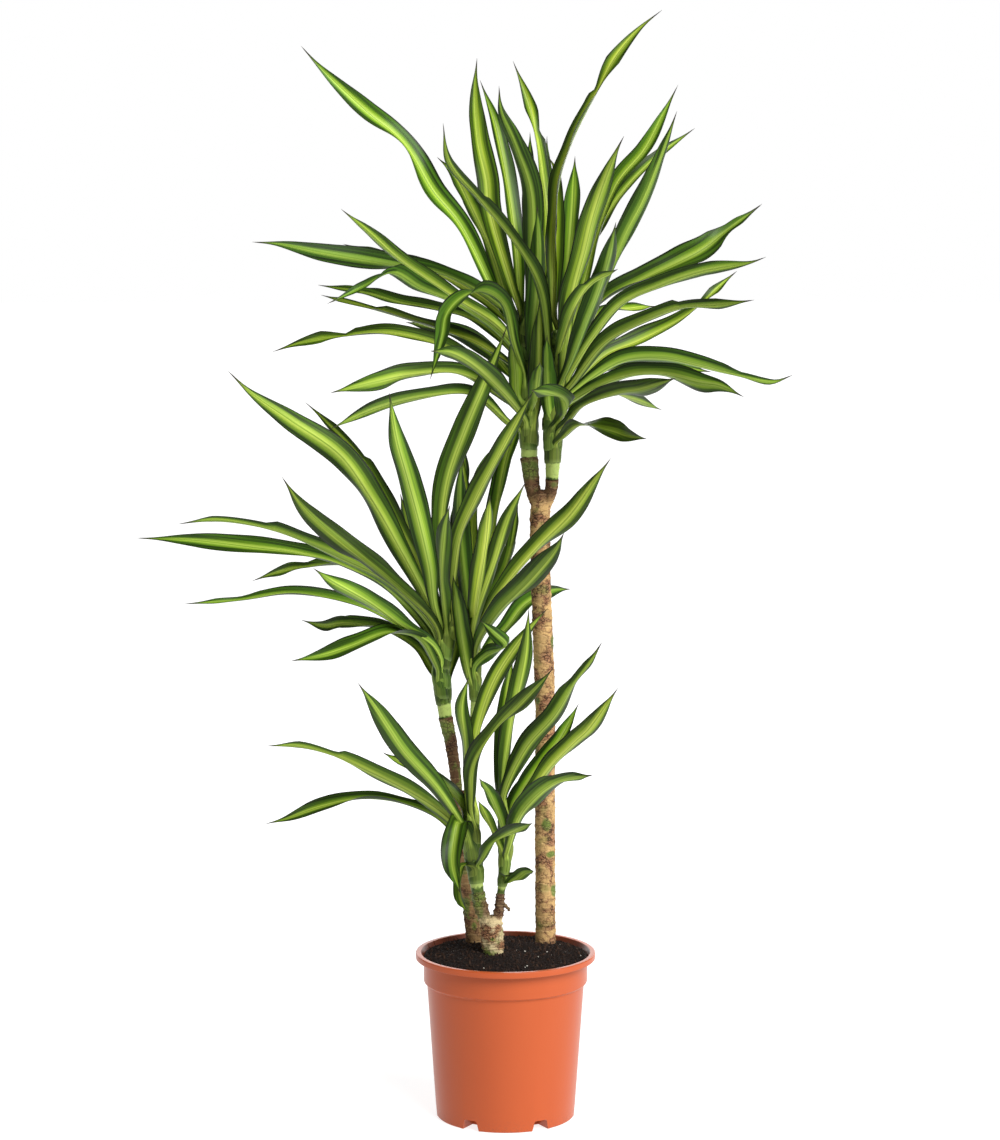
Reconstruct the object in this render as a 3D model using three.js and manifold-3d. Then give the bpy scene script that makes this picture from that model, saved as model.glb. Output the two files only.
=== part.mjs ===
// A potted corn plant: three cut canes of unlike height stand in soil in a plastic nursery pot, and
// each cane carries two leafy shoots. Millimetres, +Z up. The origin is the centre of the pot's
// underside, -Y is the front, +X is to the right.
import * as THREE from 'three';
import { mergeVertices } from 'three/addons/utils/BufferGeometryUtils.js';
import Module from 'manifold-3d';

const wasm = await Module();
wasm.setup();

// ---- driving dimensions, mm -------------------------------------------------------------------
const POT_HEIGHT = 194.5;
const RIM_RADIUS = 105;
const LIP_HEIGHT = 7;
const FLARE_RADIUS = 100.8;
const FLARE_HEIGHT = 9;
const SHOULDER_RADIUS = 95.7;
const SHOULDER_DROP = 34.4;
const STEP_FALL = 2;
const BODY_TOP_RADIUS = 92;
const FOOT_RADIUS = 81;
const WALL = 1.8;
const EDGE_ROUND = 1;
const NOTCH_COUNT = 6;
const NOTCH_WIDTH = 22;
const NOTCH_TOP_WIDTH = 16;
const NOTCH_HEIGHT = 12;
const NOTCH_INNER_RADIUS = 58;
const DRAIN_DEPTH = 7;
const DRAIN_WIDTH = 9;
const DRAIN_HEIGHT = 5;
const ROUND_SIDES = 36;

const GAP = 0.3;
const SOIL_EDGE_DROP = 6;
const SOIL_RISE = 7.5;
const CANE_FOOT = 70;
const HOLE_CLEARANCE = 0.7;
const HOLE_SIDES = 16;
const CANE_SIDES = 12;
const SHOOT_SIDES = 8;

const BLADE_THICKNESS = 0.7;
const BLADE_STEP = 52;
const LEAST_STEPS = 4;
const MOST_STEPS = 8;
const LEAST_WIDTH = 2;
const SHEATH_THICKNESS = 1.4;
const SHEATH_SHARE = 0.2;
const WAVE_HEIGHT = 1.6;
const WAVE_LENGTH = 120;
const LAUNCH = 14;
const REACH_POWER = 1.25;
const MOST_TURN = 1.75;
const LEAST_SEEN_SHARE = 0.08;
const STEADINESS = 0.5;
const CURVE_SAMPLES = 200;
const SCRAP_VOLUME = 20;
// The picture's soft edge hides this much of each margin of a leaf.
const SOFT_EDGE = 1.9;

// ---- where the photograph was taken from --------------------------------------------------------
// A picture position (u to the right, v down, in a frame of 1000 x 1140) and a distance y behind the
// pot's middle give a point of the plant.
const EYE = new THREE.Vector3(-6.4, -3440, 1033);
const EYE_PITCH = THREE.MathUtils.degToRad(6.46);
const PICTURE_FOCUS = 3000;
const PICTURE_MIDDLE_U = 500;
const PICTURE_MIDDLE_V = 570;

function at(u, v, y) {
  const run = y - EYE.y;
  const slope = Math.atan((PICTURE_MIDDLE_V - v) / PICTURE_FOCUS) - EYE_PITCH;
  const rise = run * Math.tan(slope);
  const depth = run * Math.cos(EYE_PITCH) - rise * Math.sin(EYE_PITCH);
  return new THREE.Vector3(EYE.x + ((u - PICTURE_MIDDLE_U) * depth) / PICTURE_FOCUS, y, EYE.z + rise);
}

const MM_PER_PIXEL = -EYE.y / PICTURE_FOCUS;

// ---- canes and shoots --------------------------------------------------------------------------
// Rows of a stem are [u, v, radius]: a picture position on its axis and its radius, mm.
// A shoot is woody up to the row number in `green`, and leafy from there on.
const CANES = {
  tall_cane: {
    y: 46,
    rows: [[545.5, 940, 12], [545.2, 870, 11.8], [545, 800, 12], [545, 700, 11.6], [543, 640, 11.8],
      [541.5, 600, 11.5], [540, 520, 12], [541, 490, 10]],
  },
  middle_cane: {
    y: 46,
    rows: [[475, 942, 10.8], [471, 900, 10.6], [466, 850, 10.8], [462, 815, 10.5], [461.5, 806, 9]],
  },
  short_cane: {
    y: -17,
    rows: [[493, 959, 11.8], [493, 945, 12.4], [492, 930, 12.2], [491.5, 917, 11]],
  },
};

const SHOOTS = {
  tall_left_head: {
    cane: 'tall_cane', y: 52, startY: 47, green: 3,
    rows: [[538, 506, 7], [534, 495, 7], [532, 480, 6.6], [529, 457, 6.6], [530, 440, 8], [530, 410, 8.6],
      [526, 360, 8.6], [527, 318, 6.5], [527, 300, 4]],
  },
  tall_right_head: {
    cane: 'tall_cane', y: 38, startY: 45, green: 3,
    rows: [[545, 506, 6.5], [550, 495, 6], [552, 486, 5.6], [552, 479, 5.6], [552, 450, 7.6],
      [551, 430, 10], [556, 400, 11], [556, 360, 9.5], [556, 330, 5]],
  },
  middle_left_head: {
    cane: 'middle_cane', y: 46, startY: 46, green: 4,
    rows: [[460, 812, 5.5], [458, 800, 5.4], [455, 770, 5.2], [449, 735, 5.6], [443.5, 717, 5.6],
      [441, 690, 8.2], [442, 665, 9.8], [447, 635, 9], [452, 600, 5]],
  },
  middle_right_head: {
    cane: 'middle_cane', y: 50, startY: 46, green: 4,
    rows: [[464, 812, 5], [467, 795, 4.6], [470, 765, 4.2], [472, 735, 4], [473, 717, 4],
      [475, 690, 6], [474.5, 665, 8], [472, 640, 8], [470, 605, 5]],
  },
  short_left_head: {
    cane: 'short_cane', y: -20, startY: -18, green: 3,
    rows: [[488, 928, 7], [484, 917, 7.4], [480, 904, 7.6], [478, 893, 7.6], [476, 878, 8.6],
      [475, 860, 10], [472, 840, 9.4], [470, 815, 8], [468, 790, 4]],
  },
  short_right_head: {
    cane: 'short_cane', y: -14, startY: -17, green: 3,
    rows: [[496, 928, 6], [498.5, 915, 5.8], [500, 903, 5], [500.5, 894, 5], [503, 880, 5.6],
      [505, 860, 7], [506, 840, 7.5], [504, 815, 6.6], [501, 790, 4]],
  },
};

// ---- leaves -------------------------------------------------------------------------------------
// One row a leaf, lowest first, and last the one that stands between two shoots:
// [foot, reach, width, [u, v, seen], ...].
//   foot   the height in the picture at which it leaves its shoot
//   reach  how far its tip stands behind (+) or before (-) its shoot, mm
//   width  of the blade where it is widest, between its soft edges, mm
//   u, v   picture positions along the midrib, from the shoot to the tip
//   seen   how wide the blade looks there in the picture, between its soft edges
const LEAVES = {
  tall_left_head: [
    [448, -140, 22, [512, 426, 8], [475, 396, 6], [430, 396, 10], [375, 409, 11], [330, 429, 3]],
    [444, -245, 26, [516, 408, 12], [490, 380, 15], [470, 363, 16], [450, 353, 10], [430, 351, 3]],
    [434, -190, 25, [512, 404, 9], [461, 374, 9], [410, 375, 13], [380, 381, 17], [350, 388, 14],
      [330, 393, 3]],
    [430, -140, 18, [535, 402, 9], [538, 380, 10], [540, 362, 3]],
    [424, 40, 24, [505, 388, 9], [455, 352, 7], [395, 334, 12], [346, 336, 3], [303, 342, 15],
      [272, 352, 3]],
    [420, -30, 18, [519, 398, 13], [516, 370, 15], [512, 335, 8]],
    [414, 220, 22, [508, 372, 14], [490, 352, 17], [455, 333, 13], [405, 322, 3]],
    [404, -190, 22, [514, 345, 10], [503, 303, 10], [483, 291, 12], [462, 298, 12], [447, 315, 11],
      [443, 335, 12], [430, 380, 3]],
    [398, 190, 22, [484, 347, 8], [436, 329, 5], [375, 310, 4], [321, 295, 2]],
    [392, 155, 22, [500, 338, 10], [470, 318, 9], [400, 303, 8], [365, 293, 7], [318, 285, 2]],
    [386, -130, 24, [498, 332, 10], [455, 303, 12], [420, 288, 13], [392, 273, 9], [365, 286, 7],
      [327, 304, 2]],
    [378, -190, 22, [500, 328, 9], [455, 298, 9], [400, 260, 8], [365, 229, 5], [341, 209, 2]],
    [374, 245, 22, [505, 318, 10], [440, 275, 9], [385, 256, 7], [343, 244, 2]],
    [368, -40, 26, [505, 312, 9], [445, 275, 9], [400, 266, 12], [360, 259, 21], [320, 252, 20],
      [280, 244, 10], [252, 242, 3]],
    [362, 20, 28, [503, 310, 12], [460, 225, 16], [432, 190, 22], [403, 143, 6], [365, 110, 18],
      [320, 67, 7], [301, 46, 2]],
    [356, 245, 24, [507, 300, 13], [490, 250, 15], [470, 205, 14], [455, 175, 9], [437, 157, 2]],
    [350, 90, 22, [522, 315, 10], [515, 240, 14], [507, 185, 11], [494, 120, 8], [480, 80, 2]],
    [346, 20, 26, [513, 290, 14], [490, 210, 22], [487, 180, 22], [478, 140, 16], [475, 90, 10],
      [477, 58, 2]],
    [342, -70, 26, [530, 300, 14], [532, 240, 22], [530, 190, 20], [515, 145, 13], [501, 110, 7],
      [499, 86, 2]],
    [338, 90, 22, [537, 300, 9], [547, 230, 14], [541, 170, 10], [535, 133, 5], [528, 100, 12],
      [513, 61, 2]],
    [330, 205, 18, [531, 260, 9], [531, 190, 9], [530, 132, 2]],
    [410, -65, 24, [530, 385, 10], [534, 340, 16], [538, 290, 17], [539, 245, 12], [537, 205, 2]],
    [446, -40, 22, [533, 420, 12], [538, 395, 14], [540, 355, 13], [540, 320, 8], [539, 300, 2]],
  ],
  tall_right_head: [
    [462, -245, 24, [563, 438, 7], [578, 426, 6], [610, 430, 14], [630, 436, 12], [647, 439, 3]],
    [450, -245, 24, [566, 424, 8], [580, 408, 7], [620, 393, 13], [640, 390, 16], [676, 378, 3]],
    [444, -155, 24, [566, 412, 8], [563, 399, 12], [550, 394, 15], [531, 390, 3]],
    [440, 255, 20, [572, 404, 8], [600, 391, 8], [628, 398, 6], [662, 410, 2]],
    [436, 190, 24, [568, 400, 8], [590, 376, 7], [640, 368, 8], [680, 368, 10], [712, 372, 3]],
    [432, -205, 26, [574, 400, 9], [620, 378, 12], [660, 374, 10], [700, 383, 17], [720, 386, 17],
      [744, 397, 3]],
    [428, -50, 26, [570, 396, 8], [620, 362, 12], [660, 358, 15], [700, 366, 12], [740, 376, 5],
      [772, 382, 3], [793, 375, 2]],
    [424, -140, 28, [562, 385, 9], [572, 300, 14], [585, 250, 20], [593, 217, 18], [604, 183, 16],
      [617, 150, 9], [624, 136, 2]],
    [420, -165, 24, [572, 384, 9], [604, 344, 12], [640, 323, 12], [680, 308, 9], [720, 305, 8],
      [754, 300, 2]],
    [416, 140, 26, [574, 386, 9], [605, 356, 12], [640, 341, 15], [680, 320, 9], [699, 306, 4],
      [724, 282, 10], [737, 271, 2]],
    [412, -60, 24, [566, 380, 9], [590, 342, 10], [620, 305, 12], [660, 286, 12], [700, 272, 12],
      [752, 262, 8], [766, 257, 2]],
    [408, -245, 24, [568, 368, 9], [585, 325, 13], [597, 295, 16], [608, 260, 14], [616, 222, 2]],
    [402, -140, 20, [550, 362, 8], [540, 290, 10], [520, 250, 9], [480, 200, 8], [449, 162, 6],
      [443, 123, 2]],
    [398, 245, 22, [576, 352, 8], [601, 314, 8], [630, 309, 9], [655, 306, 2]],
    [394, 70, 34, [572, 346, 9], [600, 304, 10], [644, 279, 15], [680, 262, 21], [705, 248, 24],
      [728, 230, 8], [745, 217, 5], [762, 204, 2]],
    [388, -60, 26, [578, 346, 9], [605, 285, 11], [627, 233, 18], [644, 200, 16], [660, 160, 9],
      [677, 111, 2]],
    [384, 180, 24, [570, 345, 9], [583, 270, 11], [603, 223, 13], [627, 187, 12], [657, 157, 8],
      [695, 128, 2]],
    [380, -220, 22, [564, 338, 8], [575, 308, 8], [590, 285, 8], [618, 269, 2]],
    [376, 20, 24, [570, 335, 9], [598, 235, 11], [618, 183, 11], [645, 150, 13], [662, 117, 12],
      [678, 85, 2]],
    [370, 230, 24, [562, 330, 9], [572, 225, 16], [574, 180, 9], [575, 156, 2]],
    [366, 165, 24, [552, 320, 10], [553, 250, 20], [555, 200, 18], [556, 172, 6], [548, 156, 2]],
    [362, 60, 24, [554, 310, 8], [558, 190, 6], [571, 145, 4], [598, 90, 4], [617, 55, 12],
      [640, 28, 5], [662, 10, 2]],
    [356, 295, 18, [548, 280, 8], [546, 200, 8], [547, 136, 2]],
    [430, 90, 24, [556, 395, 12], [549, 345, 17], [545, 300, 18], [547, 250, 13], [552, 200, 2]],
    [452, -40, 22, [553, 430, 13], [548, 405, 16], [546, 370, 12], [547, 335, 2]],
  ],
  middle_left_head: [
    [704, 165, 22, [432, 672, 8], [418, 650, 9], [385, 630, 8], [345, 624, 11], [325, 626, 14],
      [301, 620, 3]],
    [698, -190, 24, [434, 662, 9], [420, 640, 9], [390, 633, 8], [350, 647, 14], [325, 655, 12],
      [291, 661, 3]],
    [692, -30, 22, [432, 650, 9], [390, 620, 10], [350, 603, 6], [290, 594, 6], [240, 600, 4],
      [184, 604, 2]],
    [688, -205, 24, [434, 648, 9], [400, 625, 10], [370, 603, 14], [330, 580, 10], [313, 568, 3]],
    [682, 70, 26, [430, 636, 9], [390, 592, 8], [345, 567, 8], [300, 554, 10], [250, 547, 18],
      [190, 540, 14], [136, 538, 2]],
    [678, 190, 24, [434, 636, 9], [400, 594, 9], [360, 568, 6], [305, 567, 6], [275, 573, 14],
      [252, 581, 3]],
    [674, -90, 26, [432, 628, 9], [390, 583, 14], [345, 560, 16], [300, 540, 5], [265, 528, 7],
      [215, 520, 4], [178, 524, 2]],
    [668, -190, 26, [434, 624, 9], [400, 590, 12], [360, 557, 16], [345, 545, 22], [305, 510, 12],
      [282, 477, 3]],
    [664, -30, 31, [432, 612, 13], [395, 540, 25], [370, 497, 20], [340, 455, 26], [290, 420, 22],
      [250, 392, 12], [228, 371, 3]],
    [660, 190, 22, [430, 590, 8], [390, 510, 7], [362, 460, 6], [325, 420, 6], [305, 402, 2]],
    [658, -140, 28, [434, 605, 16], [430, 570, 20], [420, 525, 24], [408, 480, 20], [397, 440, 16],
      [389, 392, 2]],
    [654, 245, 20, [430, 590, 9], [412, 540, 9], [400, 493, 2]],
    [650, -190, 20, [443, 600, 9], [441, 575, 9], [445, 525, 8], [450, 505, 2]],
    [646, -75, 29, [446, 600, 9], [442, 530, 14], [448, 480, 22], [465, 430, 24], [484, 385, 16],
      [500, 345, 10], [507, 326, 2]],
    [642, 245, 20, [454, 590, 8], [463, 500, 9], [465, 465, 8], [464, 443, 2]],
    [638, -95, 24, [452, 590, 9], [460, 535, 13], [475, 500, 18], [495, 462, 11], [520, 415, 7],
      [534, 390, 2]],
    [634, 205, 20, [455, 580, 8], [456, 535, 8], [453, 502, 2]],
    [660, 75, 24, [450, 615, 10], [459, 570, 16], [463, 525, 16], [464, 480, 8], [463, 455, 2]],
    [700, 70, 24, [446, 680, 12], [453, 655, 15], [461, 620, 14], [468, 580, 10], [470, 550, 2]],
    [690, 30, 22, [444, 668, 12], [449, 640, 15], [455, 600, 13], [457, 560, 2]],
  ],
  middle_right_head: [
    [694, -70, 18, [474, 668, 10], [485, 656, 14], [506, 646, 8], [494, 633, 10], [480, 620, 3]],
    [690, -130, 20, [470, 662, 9], [475, 620, 12], [495, 560, 13], [507, 520, 12], [526, 481, 3]],
    [684, 230, 22, [484, 652, 9], [507, 628, 12], [525, 605, 14], [552, 591, 10], [571, 589, 3]],
    [678, -190, 28, [480, 640, 10], [500, 610, 16], [515, 595, 20], [530, 580, 22], [555, 550, 12],
      [564, 533, 3]],
    [672, -140, 26, [483, 622, 9], [510, 580, 12], [540, 545, 14], [570, 515, 20], [595, 480, 12],
      [611, 458, 3]],
    [666, 205, 22, [484, 620, 9], [505, 570, 10], [512, 545, 9], [518, 505, 2]],
    [660, -180, 24, [476, 610, 10], [485, 550, 12], [488, 520, 10], [490, 495, 2]],
    [654, 140, 24, [482, 600, 8], [497, 510, 10], [505, 465, 14], [515, 430, 12], [527, 392, 2]],
    [648, 245, 20, [474, 590, 8], [476, 500, 10], [487, 460, 11], [500, 441, 2]],
    [676, -12, 24, [472, 640, 10], [465, 590, 16], [460, 540, 17], [459, 495, 11], [462, 455, 2]],
    [700, -60, 24, [470, 680, 12], [464, 655, 15], [459, 625, 13], [455, 595, 8], [453, 575, 2]],
  ],
  short_left_head: [
    [882, -165, 18, [480, 862, 8], [492, 844, 4], [505, 836, 7], [520, 829, 8], [533, 823, 2]],
    [878, -70, 14, [463, 866, 5], [460, 884, 5], [461, 900, 5], [467, 912, 3]],
    [874, 60, 22, [462, 842, 8], [440, 820, 6], [400, 803, 4], [360, 799, 4], [320, 807, 12],
      [285, 819, 9], [265, 824, 2]],
    [868, -60, 22, [464, 836, 9], [445, 815, 12], [410, 792, 12], [370, 772, 12], [335, 756, 6],
      [300, 746, 5], [265, 746, 2]],
    [862, -70, 26, [466, 832, 12], [458, 822, 18], [454, 842, 22], [453, 865, 16], [460, 893, 4]],
    [856, -140, 26, [464, 828, 10], [437, 788, 18], [405, 752, 22], [390, 730, 20], [375, 707, 16],
      [358, 683, 3]],
    [850, 10, 22, [464, 810, 9], [440, 783, 9], [405, 765, 8], [382, 752, 2]],
    [844, -130, 24, [471, 800, 11], [474, 765, 12], [495, 730, 5], [520, 704, 16], [545, 678, 12],
      [553, 668, 3]],
    [836, -60, 20, [466, 790, 8], [465, 745, 9], [461, 707, 12], [469, 676, 2]],
    [830, -30, 20, [472, 780, 9], [478, 730, 11], [495, 680, 16], [530, 628, 5], [548, 608, 2]],
  ],
  short_right_head: [
    [886, -60, 16, [507, 882, 8], [515, 880, 10], [525, 873, 8], [534, 871, 3]],
    [874, -220, 26, [508, 850, 9], [518, 820, 14], [528, 805, 20], [555, 783, 12], [593, 775, 3]],
    [868, -50, 14, [501, 850, 5], [492, 830, 5], [478, 800, 2]],
    [862, -140, 24, [508, 838, 9], [525, 805, 10], [550, 768, 13], [575, 742, 14], [588, 730, 16],
      [618, 688, 3]],
    [856, -140, 18, [502, 826, 9], [490, 795, 9], [479, 778, 3]],
    [850, 40, 18, [510, 815, 9], [522, 786, 8], [533, 773, 2]],
    [846, 10, 22, [512, 810, 9], [545, 760, 12], [560, 740, 12], [579, 703, 2]],
    [842, -70, 26, [503, 800, 10], [525, 750, 20], [555, 715, 18], [575, 682, 7], [590, 662, 5],
      [602, 642, 2]],
    [836, 60, 20, [502, 790, 9], [503, 745, 9], [508, 690, 10], [513, 655, 2]],
    [830, -60, 22, [504, 780, 9], [512, 720, 11], [525, 655, 14], [529, 608, 2]],
  ],
};

// ---- small helpers -------------------------------------------------------------------------------
const UP = new THREE.Vector3(0, 0, 1);

function seededDraws(seed) {
  let state = seed;
  return () => {
    state = (state * 1664525 + 1013904223) % 4294967296;
    return state / 4294967296;
  };
}

// Reads a curve of [position, value] rows at one position.
function readRows(rows, position) {
  const after = rows.findIndex(([place]) => place >= position);
  if (after === 0) return rows[0][1];
  if (after < 0) return rows[rows.length - 1][1];
  const [fromPlace, fromValue] = rows[after - 1];
  const [toPlace, toValue] = rows[after];
  return fromValue + ((toValue - fromValue) * (position - fromPlace)) / (toPlace - fromPlace);
}

function acrossOf(vector, along) {
  return vector.clone().addScaledVector(along, -vector.dot(along)).normalize();
}

// A closed geometry as a solid for joining and cutting, with its faces turned outwards.
function solidOf(geometry) {
  const bare = geometry.clone();
  bare.deleteAttribute('normal');
  bare.deleteAttribute('uv');
  const merged = mergeVertices(bare, 1e-4);
  const vertProperties = new Float32Array(merged.getAttribute('position').array);
  const triVerts = new Uint32Array(merged.getIndex().array);
  const solid = new wasm.Manifold(new wasm.Mesh({ numProp: 3, vertProperties, triVerts }));
  if (solid.volume() > 0) return solid;
  const turned = triVerts.map((_, i) => triVerts[i % 3 === 0 ? i : i % 3 === 1 ? i + 1 : i - 1]);
  return new wasm.Manifold(new wasm.Mesh({ numProp: 3, vertProperties, triVerts: turned }));
}

// The largest shell of a solid: loose scraps are dropped and sealed hollows are filled.
function largestBody(solid) {
  const bodies = solid.decompose().filter((body) => body.volume() > SCRAP_VOLUME);
  return bodies.reduce((largest, body) => (body.volume() > largest.volume() ? body : largest));
}

function meshOf(name, solid, colour, roughness) {
  const { vertProperties, triVerts } = solid.getMesh();
  const geometry = new THREE.BufferGeometry();
  geometry.setAttribute('position', new THREE.BufferAttribute(new Float32Array(vertProperties), 3));
  geometry.setIndex(new THREE.BufferAttribute(new Uint32Array(triVerts), 1));
  geometry.computeVertexNormals();
  const material = new THREE.MeshStandardMaterial({ color: colour, roughness, metalness: 0 });
  const mesh = new THREE.Mesh(geometry, material);
  mesh.name = name;
  return mesh;
}

// Joins rings of equally many corners into a closed skin. `ends` gives the triangles of a ring's cap.
function skinOf(rings, ends) {
  const corners = rings[0].length;
  const positions = rings.flat().flatMap((point) => point.toArray());
  const triangles = [];
  for (let ring = 0; ring + 1 < rings.length; ring += 1) {
    for (let corner = 0; corner < corners; corner += 1) {
      const a = ring * corners + corner;
      const b = ring * corners + ((corner + 1) % corners);
      // The diagonal changes side with the face, so that both faces of a blade are split alike.
      if (corner < corners / 2) triangles.push(a, b, b + corners, a, b + corners, a + corners);
      else triangles.push(a, b, a + corners, b, b + corners, a + corners);
    }
  }
  const last = (rings.length - 1) * corners;
  for (const [a, b, c] of ends) triangles.push(c, b, a, last + a, last + b, last + c);
  const geometry = new THREE.BufferGeometry();
  geometry.setAttribute('position', new THREE.Float32BufferAttribute(positions, 3));
  geometry.setIndex(triangles);
  return solidOf(geometry);
}

function fanOf(corners) {
  return Array.from({ length: corners - 2 }, (_, i) => [0, i + 1, i + 2]);
}

function lathe(profile, sides = ROUND_SIDES) {
  const points = profile.map(([radius, height]) => new THREE.Vector2(radius, height));
  return solidOf(new THREE.LatheGeometry(points, sides).rotateX(Math.PI / 2));
}

// ---- pot -------------------------------------------------------------------------------------------
const SHOULDER_HEIGHT = POT_HEIGHT - SHOULDER_DROP;
const LIP_UNDERSIDE = POT_HEIGHT - LIP_HEIGHT;
const FLARE_START = POT_HEIGHT - FLARE_HEIGHT;

function bodyRadius(height) {
  return FOOT_RADIUS + ((BODY_TOP_RADIUS - FOOT_RADIUS) * height) / (SHOULDER_HEIGHT - STEP_FALL);
}

// Behind the lip the wall leans out to meet the rim.
function flareRadius(height) {
  return SHOULDER_RADIUS + ((FLARE_RADIUS - SHOULDER_RADIUS) * (height - FLARE_START)) / FLARE_HEIGHT;
}

// The pot's outside without its lip, moved inwards by `inset`; the same profile bounds the soil.
function potOutline(inset, floor, top) {
  return [
    [0, floor],
    [bodyRadius(floor) - inset - EDGE_ROUND, floor],
    [bodyRadius(floor) - inset, floor + EDGE_ROUND],
    [BODY_TOP_RADIUS - inset, SHOULDER_HEIGHT - STEP_FALL],
    [SHOULDER_RADIUS - inset, SHOULDER_HEIGHT],
    [SHOULDER_RADIUS - inset, FLARE_START],
    [flareRadius(top) - inset, top],
  ];
}

// A flat-topped bar lying along a radius on the floor, as wide as a foot notch plus `margin`.
function notchBar(angle, fromRadius, toRadius, margin, lowest) {
  const half = NOTCH_WIDTH / 2 + margin;
  const halfTop = NOTCH_TOP_WIDTH / 2 + margin;
  const top = NOTCH_HEIGHT + margin;
  const section = new THREE.Shape();
  section.moveTo(-half, lowest);
  section.lineTo(half, lowest);
  section.lineTo(halfTop, top);
  section.lineTo(-halfTop, top);
  const bar = new THREE.ExtrudeGeometry(section, {
    depth: toRadius - fromRadius, bevelEnabled: false,
  });
  bar.translate(0, 0, fromRadius);
  bar.rotateX(Math.PI / 2);
  bar.rotateZ(Math.PI / 2 + angle);
  return solidOf(bar);
}

function drainHole(angle) {
  const hole = new THREE.BoxGeometry(DRAIN_DEPTH, DRAIN_WIDTH, DRAIN_HEIGHT);
  hole.translate(NOTCH_INNER_RADIUS, 0, DRAIN_HEIGHT / 2 + WALL);
  hole.rotateZ(angle);
  return solidOf(hole);
}

const notchAngles = Array.from({ length: NOTCH_COUNT }, (_, i) => (i * 2 * Math.PI) / NOTCH_COUNT);

function buildPot() {
  const shell = lathe([
    ...potOutline(0, 0, POT_HEIGHT - WALL),
    [RIM_RADIUS - WALL, POT_HEIGHT - WALL],
    [RIM_RADIUS - WALL, LIP_UNDERSIDE],
    [RIM_RADIUS, LIP_UNDERSIDE],
    [RIM_RADIUS, POT_HEIGHT - EDGE_ROUND],
    [RIM_RADIUS - EDGE_ROUND, POT_HEIGHT],
    [FLARE_RADIUS - WALL + EDGE_ROUND, POT_HEIGHT],
    ...potOutline(WALL, WALL, POT_HEIGHT - EDGE_ROUND).reverse(),
  ]);
  const outside = lathe([...potOutline(0, 0, SHOULDER_HEIGHT + WALL), [0, SHOULDER_HEIGHT + WALL]]);
  let pot = shell;
  for (const angle of notchAngles) {
    const cover = notchBar(angle, NOTCH_INNER_RADIUS - WALL, RIM_RADIUS, WALL, 0);
    pot = pot.add(cover.intersect(outside));
  }
  for (const angle of notchAngles) {
    pot = pot.subtract(notchBar(angle, NOTCH_INNER_RADIUS, RIM_RADIUS, 0, -WALL));
    pot = pot.subtract(drainHole(angle));
  }
  return largestBody(pot);
}

// ---- stems -----------------------------------------------------------------------------------------
function ringAt(centre, along, radius, sides) {
  const sideways = acrossOf(new THREE.Vector3(1, 0, 0), along);
  const other = new THREE.Vector3().crossVectors(along, sideways);
  return Array.from({ length: sides }, (_, i) => {
    const angle = (i * 2 * Math.PI) / sides;
    return centre.clone()
      .addScaledVector(sideways, radius * Math.cos(angle))
      .addScaledVector(other, radius * Math.sin(angle));
  });
}

// A round tube through points with a radius each. `directions` fixes the slant of its rings.
function tube(points, radii, directions, sides) {
  const rings = points.map((point, i) => ringAt(point, directions[i], radii[i], sides));
  return skinOf(rings, fanOf(sides));
}

function directionsOf(points) {
  return points.map((_, i) => {
    const before = points[Math.max(i - 1, 0)];
    const after = points[Math.min(i + 1, points.length - 1)];
    return after.clone().sub(before).normalize();
  });
}

// The axis of a shoot: its picture rows, going from the cane's depth over to its own.
function shootAxis(shoot) {
  const points = shoot.rows.map(([u, v], i) => {
    const share = Math.min(i / shoot.green, 1);
    return at(u, v, shoot.startY + (shoot.y - shoot.startY) * share);
  });
  return { points, radii: shoot.rows.map((row) => row[2]), directions: directionsOf(points) };
}

// The woody part ends, and the leafy part starts, half a gap to each side of the same slanted cut.
function shootTube(axis, first, last, cutAt) {
  const points = axis.points.slice(first, last + 1).map((point) => point.clone());
  const cut = cutAt - first;
  const side = cut === 0 ? 1 : -1;
  points[cut].addScaledVector(axis.directions[cutAt], (side * GAP) / 2);
  return tube(points, axis.radii.slice(first, last + 1), axis.directions.slice(first, last + 1),
    SHOOT_SIDES);
}

function caneSolid(name) {
  const { y, rows } = CANES[name];
  const points = rows.map(([u, v]) => at(u, v, y));
  const foot = points[0].clone().setZ(CANE_FOOT);
  const axis = [foot, ...points];
  const radii = [rows[0][2], ...rows.map((row) => row[2])];
  const directions = directionsOf(axis);
  directions[0] = UP.clone();
  directions[1] = UP.clone();
  let cane = tube(axis, radii, directions, CANE_SIDES);
  for (const shoot of Object.values(SHOOTS)) {
    if (shoot.cane !== name) continue;
    cane = cane.add(shootTube(shootAxis(shoot), 0, shoot.green, shoot.green));
  }
  return largestBody(cane);
}

// ---- soil --------------------------------------------------------------------------------------------
// The mound from its edge to its middle: shares of the shoulder's radius and of the mound's rise.
const SOIL_MOUND = [[0.7, 0.5], [0.4, 0.87], [0, 1]];

function buildSoil() {
  const edge = POT_HEIGHT - SOIL_EDGE_DROP;
  const inset = WALL + GAP;
  const mound = SOIL_MOUND.map(([out, up]) => [SHOULDER_RADIUS * out, edge + SOIL_RISE * up]);
  let soil = lathe([...potOutline(inset, WALL + GAP, edge), ...mound]);
  for (const angle of notchAngles) {
    soil = soil.subtract(notchBar(angle, NOTCH_INNER_RADIUS - inset, RIM_RADIUS, inset, 0));
  }
  for (const { y, rows } of Object.values(CANES)) {
    const [u, v, lowRadius] = rows[0];
    const [, , nextRadius] = rows[1];
    const mouth = at(u, v, y);
    const radius = Math.max(lowRadius, nextRadius) + HOLE_CLEARANCE;
    const hole = new THREE.CylinderGeometry(radius, radius, POT_HEIGHT, HOLE_SIDES);
    hole.rotateX(Math.PI / 2);
    hole.translate(mouth.x, mouth.y, CANE_FOOT - GAP + POT_HEIGHT / 2);
    soil = soil.subtract(solidOf(hole));
  }
  return largestBody(soil);
}

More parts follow.
